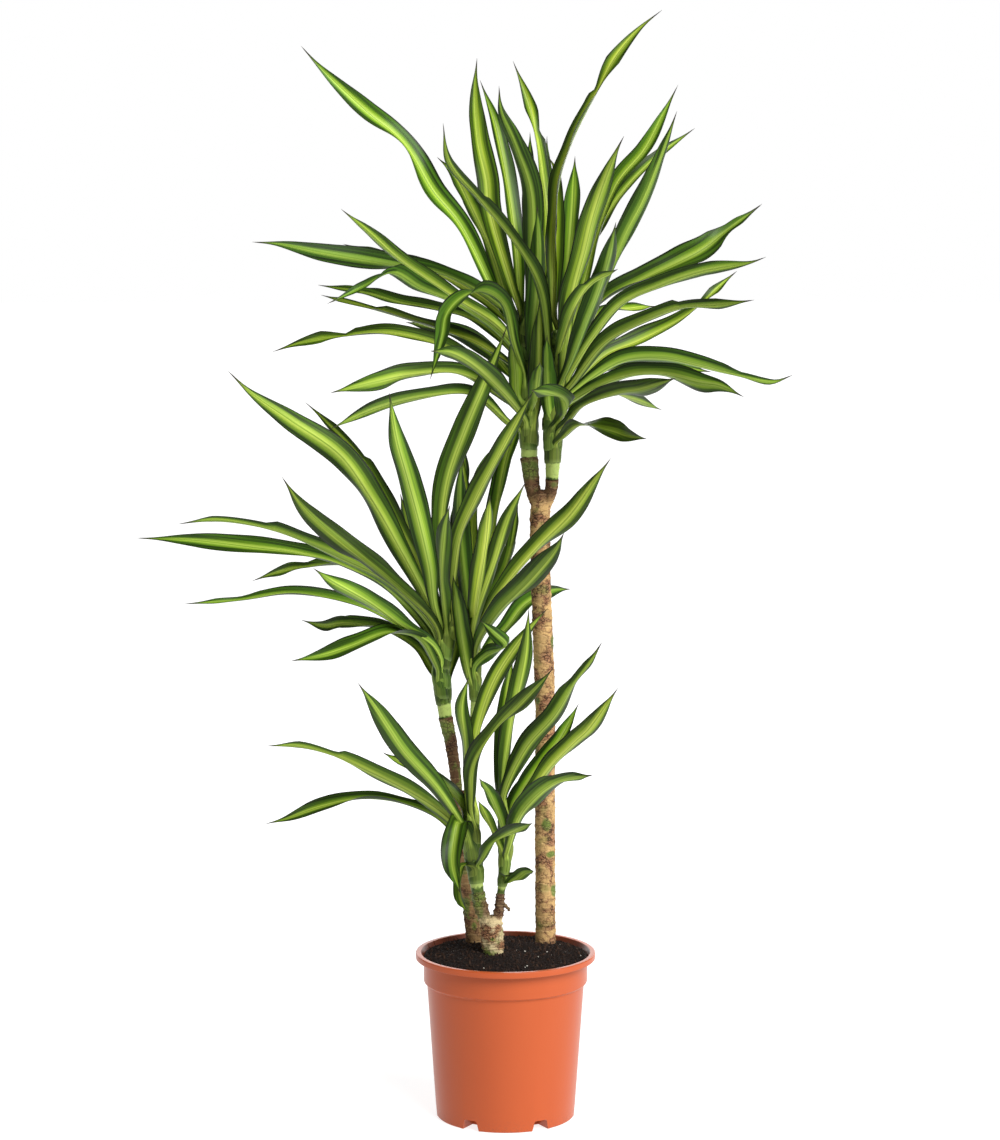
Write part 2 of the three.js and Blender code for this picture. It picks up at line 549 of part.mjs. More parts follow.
// ---- leaf ----------------------------------------------------------------------------------------------
// Shares of the blade's full width, and the upward fold of its halves in radians, from foot to tip.
const BLADE_WIDTHS = [[0, 0.46], [0.1, 0.44], [0.3, 0.74], [0.48, 1], [0.68, 0.96], [0.82, 0.66],
  [0.92, 0.26], [1, 0.05]];
const BLADE_FOLDS = [[0, 0.95], [0.18, 0.75], [0.4, 0.4], [0.8, 0.32], [1, 0.4]];

// The point of a shoot's axis at a height in the picture.
function footOf(shoot, axis, v) {
  const rows = shoot.rows;
  const upper = Math.max(rows.findIndex((row) => row[1] <= v), 1);
  const share = (v - rows[upper - 1][1]) / (rows[upper][1] - rows[upper - 1][1]);
  return {
    point: axis.points[upper - 1].clone().lerp(axis.points[upper], share),
    along: axis.directions[upper].clone(),
  };
}

// The midrib: up along the shoot first, then through the picture rows out to the tip.
function midribOf(shoot, axis, [foot, reach, , ...path]) {
  const start = footOf(shoot, axis, foot);
  const runs = [0];
  let [lastU, lastV] = [path[0][0], foot];
  for (const [u, v] of path) {
    runs.push(runs[runs.length - 1] + Math.hypot(u - lastU, v - lastV));
    [lastU, lastV] = [u, v];
  }
  const total = runs[runs.length - 1];
  const places = path.map(([u, v], i) => at(u, v, shoot.y + reach * (runs[i + 1] / total) ** REACH_POWER));
  const points = [start.point, start.point.clone().addScaledVector(start.along, LAUNCH), ...places];
  return new THREE.CatmullRomCurve3(points, false, 'centripetal');
}

// The upper side's natural direction at a point of the midrib: towards the shoot where the leaf
// stands, up where it lies over, and outwards where it hangs.
function naturalUpper(along, outwards) {
  const upper = outwards.clone().multiplyScalar(-along.dot(UP)).addScaledVector(UP, along.dot(outwards));
  return acrossOf(upper, along);
}

function wrapAngle(angle) {
  return Math.atan2(Math.sin(angle), Math.cos(angle));
}

// How far the blade turns about its midrib so that it looks as wide as `share` of its real width.
// Of the turns that do, it takes the one nearest to its natural set and to the turn before.
function turnFor(point, along, upper, share, turnBefore) {
  const towardsEye = acrossOf(EYE.clone().sub(point), along);
  const facing = Math.atan2(new THREE.Vector3().crossVectors(upper, towardsEye).dot(along),
    upper.dot(towardsEye));
  const lean = Math.acos(THREE.MathUtils.clamp(share, LEAST_SEEN_SHARE, 1));
  const turns = [lean, -lean, Math.PI - lean, lean - Math.PI].map((turn) => wrapAngle(facing + turn));
  const cost = (turn) => Math.abs(turn) + STEADINESS * Math.abs(turn - turnBefore);
  const best = turns.reduce((chosen, turn) => (cost(turn) < cost(chosen) ? turn : chosen));
  return THREE.MathUtils.clamp(best, -MOST_TURN, MOST_TURN);
}

function leafSolid(shoot, axis, row, draw) {
  const curve = midribOf(shoot, axis, row);
  const width = row[2] + 2 * SOFT_EDGE;
  const path = row.slice(3);
  const length = curve.getLength();
  const outwards = curve.getPoint(1).sub(curve.getPoint(0)).setZ(0).normalize();
  // The curve passes its given points at equal steps of its own parameter.
  const lengths = curve.getLengths(CURVE_SAMPLES);
  const turns = [[0, 0]];
  path.forEach(([, , seen], i) => {
    const parameter = (i + 2) / (path.length + 1);
    const share = lengths[Math.round(parameter * CURVE_SAMPLES)] / length;
    const along = curve.getTangent(parameter);
    const point = curve.getPoint(parameter);
    const wide = Math.max(width * readRows(BLADE_WIDTHS, share), LEAST_WIDTH);
    const seenShare = (seen * MM_PER_PIXEL + 2 * SOFT_EDGE) / wide;
    const upper = naturalUpper(along, outwards);
    const before = turns[turns.length - 1][1];
    turns.push([share, turnFor(point, along, upper, seenShare, before)]);
  });
  const steps = THREE.MathUtils.clamp(Math.round(length / BLADE_STEP) + 1, LEAST_STEPS, MOST_STEPS);
  const waves = length / WAVE_LENGTH;
  const phase = draw() * 2 * Math.PI;
  const rings = [];
  for (let step = 0; step <= steps; step += 1) {
    const share = step / steps;
    const point = curve.getPointAt(share);
    const along = curve.getTangentAt(share);
    const upper = naturalUpper(along, outwards).applyAxisAngle(along, readRows(turns, share));
    const sideways = new THREE.Vector3().crossVectors(along, upper);
    const half = (width * readRows(BLADE_WIDTHS, share)) / 2;
    const fold = readRows(BLADE_FOLDS, share);
    const wave = WAVE_HEIGHT * Math.sin(share * waves * 2 * Math.PI + phase) * Math.sin(share * Math.PI);
    const thin = Math.min(share / SHEATH_SHARE, 1);
    const thick = THREE.MathUtils.lerp(SHEATH_THICKNESS, BLADE_THICKNESS, thin);
    const edge = (side) => point.clone()
      .addScaledVector(sideways, side * half * Math.cos(fold))
      .addScaledVector(upper, half * Math.sin(fold) + side * wave);
    const top = [edge(-1), point.clone(), edge(1)];
    const bottom = top.map((corner) => corner.clone().addScaledVector(upper, -thick)).reverse();
    rings.push([...top, ...bottom]);
  }
  return skinOf(rings, [[0, 1, 5], [1, 4, 5], [1, 2, 4], [2, 3, 4]]);
}

function headSolid(name, seed) {
  const shoot = SHOOTS[name];
  const axis = shootAxis(shoot);
  const draw = seededDraws(seed);
  let head = shootTube(axis, shoot.green, shoot.rows.length - 1, shoot.green);
  for (const row of LEAVES[name]) head = head.add(leafSolid(shoot, axis, row, draw));
  return largestBody(head);
}

// ---- the plant -----------------------------------------------------------------------------------------
const CANE_COLOURS = { tall_cane: 0x9a7f55, middle_cane: 0x8f7a4e, short_cane: 0xa58d66 };
const LEAF_COLOUR = 0x5f8a35;
const SOIL_COLOUR = 0x2a211b;
const POT_COLOUR = 0xd2683f;

const plant = new THREE.Group();
plant.add(meshOf('pot', buildPot(), POT_COLOUR, 0.42));
plant.add(meshOf('soil', buildSoil(), SOIL_COLOUR, 0.95));
for (const name of Object.keys(CANES)) {
  plant.add(meshOf(name, caneSolid(name), CANE_COLOURS[name], 0.8));
}
Object.keys(SHOOTS).forEach((name, i) => {
  plant.add(meshOf(name, headSolid(name, i + 1), LEAF_COLOUR, 0.45));
});

export default plant;
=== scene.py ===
# %% [markdown]
# # A potted corn plant
# A corn plant is sold as cut canes of unlike height, rooted together in one nursery pot. Each cane has
# thrown two shoots from under its cut top, and each shoot carries a tuft of long leaves with a bright
# stripe down the middle. The pot is thin moulded plastic, and the soil is dark and crumbly.
#
# The lesson goes from the ground up in the order in which a modeller settles things: the eye that looks
# at the plant, the stems, the leaves, the pot, the soil, and last the light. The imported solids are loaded
# first, because they say where everything stands. They are coarse on purpose, so nearly all of them
# are replaced here by finer pieces in the same places.

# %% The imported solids
import math

import bmesh
import bpy
import numpy as np
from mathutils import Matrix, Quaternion, Vector


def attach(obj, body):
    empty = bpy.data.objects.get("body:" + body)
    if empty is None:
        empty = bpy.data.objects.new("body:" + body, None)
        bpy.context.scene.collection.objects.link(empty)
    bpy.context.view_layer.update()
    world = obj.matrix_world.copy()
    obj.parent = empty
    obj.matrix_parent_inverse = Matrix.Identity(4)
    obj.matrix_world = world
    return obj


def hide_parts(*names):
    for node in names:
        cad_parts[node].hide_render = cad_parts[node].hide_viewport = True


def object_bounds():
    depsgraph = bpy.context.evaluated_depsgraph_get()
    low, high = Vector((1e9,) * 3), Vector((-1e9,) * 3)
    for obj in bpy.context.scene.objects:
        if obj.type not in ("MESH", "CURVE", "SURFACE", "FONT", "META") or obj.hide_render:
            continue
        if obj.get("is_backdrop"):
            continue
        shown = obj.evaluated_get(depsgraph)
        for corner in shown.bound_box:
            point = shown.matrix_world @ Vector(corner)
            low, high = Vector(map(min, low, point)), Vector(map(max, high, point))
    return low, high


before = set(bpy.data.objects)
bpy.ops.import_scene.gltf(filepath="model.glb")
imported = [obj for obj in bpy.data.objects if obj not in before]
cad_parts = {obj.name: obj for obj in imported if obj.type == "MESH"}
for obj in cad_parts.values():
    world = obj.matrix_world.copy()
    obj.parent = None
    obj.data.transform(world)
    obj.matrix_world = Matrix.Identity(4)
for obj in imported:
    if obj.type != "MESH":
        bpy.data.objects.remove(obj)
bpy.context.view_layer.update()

MM = 0.001

# %% [markdown]
# ## The eye
# A leaf can't be measured with a ruler in a photograph, but where it is seen can be. So the eye comes
# first: its height over the floor follows from how round the pot's rim looks, and its distance from how
# much the rim's ellipse differs from the foot's. From then on a place in the picture, `u` to the right and
# `v` down, with a distance behind the pot's middle, is one point of the plant. The alternative, placing
# leaves freehand and turning them until they look right, takes longer and never quite meets the picture.

# %% Camera
EYE = Vector((-6.4, -3440, 1033))
EYE_PITCH = math.radians(6.46)
PICTURE_WIDE, PICTURE_TALL = 1000, 1140
PICTURE_FOCUS = 3000
FILM = 36

camera_data = bpy.data.cameras.new("camera")
camera_data.sensor_width = FILM
camera_data.lens = PICTURE_FOCUS * FILM / PICTURE_TALL
camera_data.clip_end = 200
camera = bpy.data.objects.new("camera", camera_data)
camera.location = EYE * MM
camera.rotation_euler = (math.pi / 2 - EYE_PITCH, 0, 0)
bpy.context.collection.objects.link(camera)
bpy.context.scene.camera = camera
print("lens, mm:", round(camera_data.lens, 1))


# %% A point of the plant from a place in the picture
def picture_point(u, v, y):
    run = y - EYE.y
    rise = run * math.tan(math.atan((PICTURE_TALL / 2 - v) / PICTURE_FOCUS) - EYE_PITCH)
    depth = run * math.cos(EYE_PITCH) - rise * math.sin(EYE_PITCH)
    return Vector((EYE.x + (u - PICTURE_WIDE / 2) * depth / PICTURE_FOCUS, y, EYE.z + rise))


MM_PER_PIXEL = -EYE.y / PICTURE_FOCUS
print("one pixel at the pot's middle is", round(MM_PER_PIXEL, 2), "mm")

# %% [markdown]
# ## Two tools for every material and every tree
# Colours are written as they look on a screen and are turned to linear amounts by one function. Nodes
# are added by one function too, which takes a node's settings and what goes into each of its sockets.


# %% Colour and nodes
def linear(hex_colour):
    parts = [int(hex_colour[i:i + 2], 16) / 255 for i in (1, 3, 5)]
    return (*(c / 12.92 if c <= 0.04045 else ((c + 0.055) / 1.055) ** 2.4 for c in parts), 1)


def add(tree, kind, inputs=None, **settings):
    """Adds a node. `inputs` maps a socket's name or number to a value, a node or another node's output."""
    node = tree.nodes.new(kind)
    for name, value in settings.items():
        setattr(node, name, value)
    for name, value in (inputs or {}).items():
        if isinstance(value, bpy.types.Node):
            value = next(out for out in value.outputs if out.enabled)
        if isinstance(value, bpy.types.NodeSocket):
            tree.links.new(value, node.inputs[name])
        else:
            node.inputs[name].default_value = value
    return node


def new_material(name):
    """An empty material and its tree. What goes into its shader's sockets is given by `cover`."""
    material = bpy.data.materials.new(name)
    material.use_nodes = True
    material.node_tree.nodes.clear()
    return material, material.node_tree


def cover(tree, **sockets):
    """Ends a material: one shader, with a value or a node for each named socket."""
    sockets = {key.replace("_", " "): value for key, value in sockets.items()}
    shader = add(tree, "ShaderNodeBsdfPrincipled", sockets)
    add(tree, "ShaderNodeOutputMaterial", {"Surface": shader})
    print("material of", len(tree.nodes), "nodes")


# %% Geometry Nodes trees with named sizes
SOCKETS = {int: "NodeSocketInt", float: "NodeSocketFloat", type(None): "NodeSocketMaterial"}


def new_geometry_tree(name, **sizes):
    """A tree with one input for each named size. None stands for a material."""
    tree = bpy.data.node_groups.new(name, "GeometryNodeTree")
    tree.interface.new_socket("Geometry", in_out="INPUT", socket_type="NodeSocketGeometry")
    tree.interface.new_socket("Geometry", in_out="OUTPUT", socket_type="NodeSocketGeometry")
    for key, size in sizes.items():
        socket = tree.interface.new_socket(key, in_out="INPUT", socket_type=SOCKETS[type(size)])
        if size is not None:
            socket.default_value = size
    return tree, add(tree, "NodeGroupInput").outputs, add(tree, "NodeGroupOutput").inputs[0]


def end_tree(tree, shape, skin, result):
    """Ends a tree: the shape gets its material and is made real, because the export drops instances."""
    shape = add(tree, "GeometryNodeSetMaterial", {"Geometry": shape, "Material": skin})
    shape = add(tree, "GeometryNodeRealizeInstances", {"Geometry": shape})
    tree.links.new(shape.outputs[0], result)
    print(tree.name + ":", len(tree.nodes), "nodes")


def run_tree(thing, tree, **sizes):
    """Gives an object a tree as a modifier. Each size goes to its socket by the socket's identifier."""
    modifier = thing.modifiers.new(tree.name, "NODES")
    modifier.node_group = tree
    for item in tree.interface.items_tree:
        if item.in_out == "INPUT" and item.name in sizes:
            modifier[item.identifier] = sizes[item.name]
    return thing


def settle(thing):
    """Turns what an object's modifiers make into its own plain mesh, and removes them."""
    graph = bpy.context.evaluated_depsgraph_get()
    mesh = bpy.data.meshes.new_from_object(
        thing.evaluated_get(graph), preserve_all_data_layers=True, depsgraph=graph)
    thing.modifiers.clear()
    thing.data = mesh
    mesh.name = thing.name
    return thing


def place_mesh(name, mesh):
    thing = bpy.data.objects.new(name, mesh)
    bpy.context.collection.objects.link(thing)
    return thing


def place_build(name, build):
    """Turns what was built face by face into an object."""
    mesh = bpy.data.meshes.new(name)
    build.to_mesh(mesh)
    build.free()
    return place_mesh(name, mesh)


def report(thing):
    """Prints a piece's triangles and the volume inside it, which is negative if it is inside out."""
    mesh = thing.data
    mesh.calc_loop_triangles()
    corners = np.empty(len(mesh.loop_triangles) * 3, int)
    mesh.loop_triangles.foreach_get("vertices", corners)
    places = np.empty(len(mesh.vertices) * 3)
    mesh.vertices.foreach_get("co", places)
    a, b, c = places.reshape(-1, 3)[corners].reshape(-1, 3, 3).transpose(1, 0, 2)
    volume = np.einsum("ij,ij->", a, np.cross(b, c)) / 6
    print(f"{thing.name}: {len(a)} triangles, {volume * 1e6:.1f} cm3")


def finish_piece(thing, slot, *nodes):
    """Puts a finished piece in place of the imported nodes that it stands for."""
    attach(thing, "root")
    if nodes:
        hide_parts(*nodes)
    report(thing)

# %% [markdown]
# ## Where the stems and leaves run
# Each cane is a thick tube cut off flat. Each shoot leaves its cane at a slant, bends upright and is woody
# for a short way, then green. Each leaf starts at a height on its shoot and runs through a few places of
# the picture to its tip. `reach` says how far the tip stands behind its shoot, or before it where it
# is below nothing. A picture alone has no depth, so that is a guess: a tuft spreads to all sides, and its
# leaves take turns to lean back and forward. `seen` says how wide the blade looks, which tells how far
# it is turned away from the eye.

# %% Canes: rows of [u, v, radius in mm]
CANES = {
    "tall_cane": (46, [[545.5, 940, 12], [545.2, 870, 11.8], [545, 800, 12], [545, 700, 11.6],
                       [543, 640, 11.8], [541.5, 600, 11.5], [540, 520, 12], [541, 490, 10]]),
    "middle_cane": (46, [[475, 942, 10.8], [471, 900, 10.6], [466, 850, 10.8], [462, 815, 10.5],
                         [461.5, 806, 9]]),
    "short_cane": (-17, [[493, 959, 11.8], [493, 945, 12.4], [492, 930, 12.2], [491.5, 917, 11]]),
}
CANE_FOOT = 70

# %% Shoots: the cane, the depth, the depth at the start, the first green row, and rows of [u, v, radius]
SHOOTS = {
    "tall_left": ("tall_cane", 52, 47, 3, [
        [538, 506, 7.4], [534, 495, 8.2], [531.5, 480, 9.2], [529, 457, 10.4], [529.5, 440, 10.2],
        [530, 410, 9.6], [526, 360, 8.6], [527, 318, 6.5], [527, 300, 4]]),
    "tall_right": ("tall_cane", 38, 45, 3, [
        [545, 506, 6.8], [550, 495, 7], [552, 486, 7.4], [552, 479, 8], [553, 450, 10],
        [551, 430, 10], [556, 400, 11], [556, 360, 9.5], [556, 330, 5]]),
    "middle_left": ("middle_cane", 46, 46, 4, [
        [460, 812, 6], [458, 800, 6.2], [455, 770, 6.6], [449.5, 735, 7.6], [445.5, 717, 8.4],
        [442.5, 690, 9.4], [442, 665, 9.8], [447, 635, 9], [452, 600, 5]]),
    "middle_right": ("middle_cane", 50, 46, 4, [
        [464, 812, 5], [467, 795, 4.6], [470, 765, 4.2], [472, 735, 4], [473, 717, 4],
        [475, 690, 6], [474.5, 665, 8], [472, 640, 8], [470, 605, 5]]),
    "short_left": ("short_cane", -20, -18, 3, [
        [488, 928, 7], [484, 917, 7.4], [480, 904, 7.6], [478, 893, 7.6], [476, 878, 8.6],
        [475, 860, 10], [472, 840, 9.4], [470, 815, 8], [468, 790, 4]]),
    "short_right": ("short_cane", -14, -17, 3, [
        [496, 928, 6], [498.5, 915, 5.8], [500, 903, 5], [500.5, 894, 5], [503, 880, 5.6],
        [505, 860, 7], [506, 840, 7.5], [504, 815, 6.6], [501, 790, 4]]),
}

# %% Leaves, lowest first: [height of the foot, reach in mm, width in mm, [u, v, seen], ...]
LEAVES = {
    "tall_left": [
        [448, -140, 22, [512, 426, 8], [475, 396, 6], [430, 396, 10], [375, 409, 11], [330, 429, 3]],
        [444, -245, 26, [516, 408, 12], [490, 380, 15], [470, 363, 16], [450, 353, 10], [430, 351, 3]],
        [434, -190, 25, [512, 404, 9], [461, 374, 9], [410, 375, 13], [380, 381, 17], [350, 388, 14],
         [330, 393, 3]],
        [430, -140, 18, [535, 402, 9], [538, 380, 10], [540, 362, 3]],
        [424, 40, 24, [505, 388, 9], [455, 352, 7], [395, 334, 12], [346, 336, 3], [303, 342, 15],
         [272, 352, 3]],
        [420, -30, 18, [519, 398, 13], [516, 370, 15], [512, 335, 8]],
        [414, 220, 22, [508, 372, 14], [490, 352, 17], [455, 333, 13], [405, 322, 3]],
        [404, -190, 22, [514, 345, 10], [503, 303, 10], [483, 291, 12], [462, 298, 12], [447, 315, 11],
         [443, 335, 12], [430, 380, 3]],
        [398, 190, 22, [484, 347, 8], [436, 329, 5], [375, 310, 4], [321, 295, 2]],
        [392, 155, 22, [500, 338, 10], [470, 318, 9], [400, 303, 8], [365, 293, 7], [318, 285, 2]],
        [386, -130, 24, [498, 332, 10], [455, 303, 12], [420, 288, 13], [392, 273, 9], [365, 286, 7],
         [327, 304, 2]],
        [378, -190, 22, [500, 328, 9], [455, 298, 9], [400, 260, 8], [365, 229, 5], [341, 209, 2]],
        [374, 245, 22, [505, 318, 10], [440, 275, 9], [385, 256, 7], [343, 244, 2]],
        [368, -40, 26, [505, 312, 9], [445, 275, 9], [400, 266, 12], [360, 259, 21], [320, 252, 20],
         [280, 244, 10], [252, 242, 3]],
        [362, 20, 28, [503, 310, 12], [460, 225, 16], [432, 190, 22], [403, 143, 6], [365, 110, 18],
         [320, 67, 7], [301, 46, 2]],
        [356, 245, 24, [507, 300, 13], [490, 250, 15], [470, 205, 14], [455, 175, 9], [437, 157, 2]],
        [350, 90, 22, [522, 315, 10], [515, 240, 14], [507, 185, 11], [494, 120, 8], [480, 80, 2]],
        [346, 20, 26, [513, 290, 14], [490, 210, 22], [487, 180, 22], [478, 140, 16], [475, 90, 10],
         [477, 58, 2]],
        [342, -70, 26, [530, 300, 14], [532, 240, 22], [530, 190, 20], [515, 145, 13], [501, 110, 7],
         [499, 86, 2]],
        [338, 90, 22, [537, 300, 9], [547, 230, 14], [541, 170, 10], [535, 133, 5], [528, 100, 12],
         [513, 61, 2]],
        [330, 205, 18, [531, 260, 9], [531, 190, 9], [530, 132, 2]],
        [410, -65, 24, [530, 385, 10], [534, 340, 16], [538, 290, 17], [539, 245, 12], [537, 205, 2]],
        [446, -40, 22, [533, 420, 12], [538, 395, 14], [540, 355, 13], [540, 320, 8], [539, 300, 2]],
    ],
    "tall_right": [
        [462, -245, 24, [563, 438, 7], [578, 426, 6], [610, 430, 14], [630, 436, 12], [647, 439, 3]],
        [450, -245, 24, [566, 424, 8], [580, 408, 7], [620, 393, 13], [640, 390, 16], [676, 378, 3]],
        [444, -155, 24, [566, 412, 8], [563, 399, 12], [550, 394, 15], [531, 390, 3]],
        [440, 255, 20, [572, 404, 8], [600, 391, 8], [628, 398, 6], [662, 410, 2]],
        [436, 190, 24, [568, 400, 8], [590, 376, 7], [640, 368, 8], [680, 368, 10], [712, 372, 3]],
        [432, -205, 26, [574, 400, 9], [620, 378, 12], [660, 374, 10], [700, 383, 17], [720, 386, 17],
         [744, 397, 3]],
        [428, -50, 26, [570, 396, 8], [620, 362, 12], [660, 358, 15], [700, 366, 12], [740, 376, 5],
         [772, 382, 3], [793, 375, 2]],
        [424, -140, 28, [562, 385, 9], [572, 300, 14], [585, 250, 20], [593, 217, 18], [604, 183, 16],
         [617, 150, 9], [624, 136, 2]],
        [420, -165, 24, [572, 384, 9], [604, 344, 12], [640, 323, 12], [680, 308, 9], [720, 305, 8],
         [754, 300, 2]],
        [416, 140, 26, [574, 386, 9], [605, 356, 12], [640, 341, 15], [680, 320, 9], [699, 306, 4],
         [724, 282, 10], [737, 271, 2]],
        [412, -60, 24, [566, 380, 9], [590, 342, 10], [620, 305, 12], [660, 286, 12], [700, 272, 12],
         [752, 262, 8], [766, 257, 2]],
        [408, -245, 24, [568, 368, 9], [585, 325, 13], [597, 295, 16], [608, 260, 14], [616, 222, 2]],
        [402, -140, 20, [550, 362, 8], [540, 290, 10], [520, 250, 9], [480, 200, 8], [449, 162, 6],
         [443, 123, 2]],
        [398, 245, 22, [576, 352, 8], [601, 314, 8], [630, 309, 9], [655, 306, 2]],
        [394, 70, 34, [572, 346, 9], [600, 304, 10], [644, 279, 15], [680, 262, 21], [705, 248, 24],
         [728, 230, 8], [745, 217, 5], [762, 204, 2]],
        [388, -60, 26, [578, 346, 9], [605, 285, 11], [627, 233, 18], [644, 200, 16], [660, 160, 9],
         [677, 111, 2]],
        [384, 180, 24, [570, 345, 9], [583, 270, 11], [603, 223, 13], [627, 187, 12], [657, 157, 8],
         [695, 128, 2]],
        [380, -220, 22, [564, 338, 8], [575, 308, 8], [590, 285, 8], [618, 269, 2]],
        [376, 20, 24, [570, 335, 9], [598, 235, 11], [618, 183, 11], [645, 150, 13], [662, 117, 12],
         [678, 85, 2]],
        [370, 230, 24, [562, 330, 9], [572, 225, 16], [574, 180, 9], [575, 156, 2]],
        [366, 165, 24, [552, 320, 10], [553, 250, 20], [555, 200, 18], [556, 172, 6], [548, 156, 2]],
        [362, 60, 24, [554, 310, 8], [558, 190, 6], [571, 145, 4], [598, 90, 4], [617, 55, 12],
         [640, 28, 5], [662, 10, 2]],
        [356, 295, 18, [548, 280, 8], [546, 200, 8], [547, 136, 2]],
        [430, 90, 24, [556, 395, 12], [549, 345, 17], [545, 300, 18], [547, 250, 13], [552, 200, 2]],
        [452, -40, 22, [553, 430, 13], [548, 405, 16], [546, 370, 12], [547, 335, 2]],
    ],
    "middle_left": [
        [704, 165, 22, [432, 672, 8], [418, 650, 9], [385, 630, 8], [345, 624, 11], [325, 626, 14],
         [301, 620, 3]],
        [698, -190, 24, [434, 662, 9], [420, 640, 9], [390, 633, 8], [350, 647, 14], [325, 655, 12],
         [291, 661, 3]],
        [692, -30, 22, [432, 650, 9], [390, 620, 10], [350, 603, 6], [290, 594, 6], [240, 600, 4],
         [184, 604, 2]],
        [688, -205, 24, [434, 648, 9], [400, 625, 10], [370, 603, 14], [330, 580, 10], [313, 568, 3]],
        [682, 70, 26, [430, 636, 9], [390, 592, 8], [345, 567, 8], [300, 554, 10], [250, 547, 18],
         [190, 540, 14], [136, 538, 2]],
        [678, 190, 24, [434, 636, 9], [400, 594, 9], [360, 568, 6], [305, 567, 6], [275, 573, 14],
         [252, 581, 3]],
        [674, -90, 26, [432, 628, 9], [390, 583, 14], [345, 560, 16], [300, 540, 5], [265, 528, 7],
         [215, 520, 4], [178, 524, 2]],
        [668, -190, 26, [434, 624, 9], [400, 590, 12], [360, 557, 16], [345, 545, 22], [305, 510, 12],
         [282, 477, 3]],
        [664, -30, 31, [432, 612, 13], [395, 540, 25], [370, 497, 20], [340, 455, 26], [290, 420, 22],
         [250, 392, 12], [228, 371, 3]],
        [660, 190, 22, [430, 590, 8], [390, 510, 7], [362, 460, 6], [325, 420, 6], [305, 402, 2]],
        [658, -140, 28, [434, 605, 16], [430, 570, 20], [420, 525, 24], [408, 480, 20], [397, 440, 16],
         [389, 392, 2]],
        [654, 245, 20, [430, 590, 9], [412, 540, 9], [400, 493, 2]],
        [650, -190, 20, [443, 600, 9], [441, 575, 9], [445, 525, 8], [450, 505, 2]],
        [646, -75, 29, [446, 600, 9], [442, 530, 14], [448, 480, 22], [465, 430, 24], [484, 385, 16],
         [500, 345, 10], [507, 326, 2]],
        [642, 245, 20, [454, 590, 8], [463, 500, 9], [465, 465, 8], [464, 443, 2]],
        [638, -95, 24, [452, 590, 9], [460, 535, 13], [475, 500, 18], [495, 462, 11], [520, 415, 7],
         [534, 390, 2]],
        [634, 205, 20, [455, 580, 8], [456, 535, 8], [453, 502, 2]],
        [660, 75, 24, [450, 615, 10], [459, 570, 16], [463, 525, 16], [464, 480, 8], [463, 455, 2]],
        [700, 70, 24, [446, 680, 12], [453, 655, 15], [461, 620, 14], [468, 580, 10], [470, 550, 2]],
        [690, 30, 22, [444, 668, 12], [449, 640, 15], [455, 600, 13], [457, 560, 2]],
    ],
    "middle_right": [
        [694, -70, 18, [474, 668, 10], [485, 656, 14], [506, 646, 8], [494, 633, 10], [480, 620, 3]],
        [690, -130, 20, [470, 662, 9], [475, 620, 12], [495, 560, 13], [507, 520, 12], [526, 481, 3]],
        [684, 230, 22, [484, 652, 9], [507, 628, 12], [525, 605, 14], [552, 591, 10], [571, 589, 3]],
        [678, -190, 28, [480, 640, 10], [500, 610, 16], [515, 595, 20], [530, 580, 22], [555, 550, 12],
         [564, 533, 3]],
        [672, -140, 26, [483, 622, 9], [510, 580, 12], [540, 545, 14], [570, 515, 20], [595, 480, 12],
         [611, 458, 3]],
        [666, 205, 22, [484, 620, 9], [505, 570, 10], [512, 545, 9], [518, 505, 2]],
        [660, -180, 24, [476, 610, 10], [485, 550, 12], [488, 520, 10], [490, 495, 2]],
        [654, 140, 24, [482, 600, 8], [497, 510, 10], [505, 465, 14], [515, 430, 12], [527, 392, 2]],
        [648, 245, 20, [474, 590, 8], [476, 500, 10], [487, 460, 11], [500, 441, 2]],
        [676, -12, 24, [472, 640, 10], [465, 590, 16], [460, 540, 17], [459, 495, 11], [462, 455, 2]],
        [700, -60, 24, [470, 680, 12], [464, 655, 15], [459, 625, 13], [455, 595, 8], [453, 575, 2]],
    ],
    "short_left": [
        [882, -165, 18, [480, 862, 8], [492, 844, 4], [505, 836, 7], [520, 829, 8], [533, 823, 2]],
        [878, -70, 14, [463, 866, 5], [460, 884, 5], [461, 900, 5], [467, 912, 3]],
        [874, 60, 22, [462, 842, 8], [440, 820, 6], [400, 803, 4], [360, 799, 4], [320, 807, 12],
         [285, 819, 9], [265, 824, 2]],
        [868, -60, 22, [464, 836, 9], [445, 815, 12], [410, 792, 12], [370, 772, 12], [335, 756, 6],
         [300, 746, 5], [265, 746, 2]],
        [862, -70, 26, [466, 832, 12], [458, 822, 18], [454, 842, 22], [453, 865, 16], [460, 893, 4]],
        [856, -140, 26, [464, 828, 10], [437, 788, 18], [405, 752, 22], [390, 730, 20], [375, 707, 16],
         [358, 683, 3]],
        [850, 10, 22, [464, 810, 9], [440, 783, 9], [405, 765, 8], [382, 752, 2]],
        [844, -130, 24, [471, 800, 11], [474, 765, 12], [495, 730, 5], [520, 704, 16], [545, 678, 12],
         [553, 668, 3]],
        [836, -60, 20, [466, 790, 8], [465, 745, 9], [461, 707, 12], [469, 676, 2]],
        [830, -30, 20, [472, 780, 9], [478, 730, 11], [495, 680, 16], [530, 628, 5], [548, 608, 2]],
    ],
    "short_right": [
        [886, -60, 16, [507, 882, 8], [515, 880, 10], [525, 873, 8], [534, 871, 3]],
        [874, -220, 26, [508, 850, 9], [518, 820, 14], [528, 805, 20], [555, 783, 12], [593, 775, 3]],
        [868, -50, 14, [501, 850, 5], [492, 830, 5], [478, 800, 2]],
        [862, -140, 24, [508, 838, 9], [525, 805, 10], [550, 768, 13], [575, 742, 14], [588, 730, 16],
         [618, 688, 3]],
        [856, -140, 18, [502, 826, 9], [490, 795, 9], [479, 778, 3]],
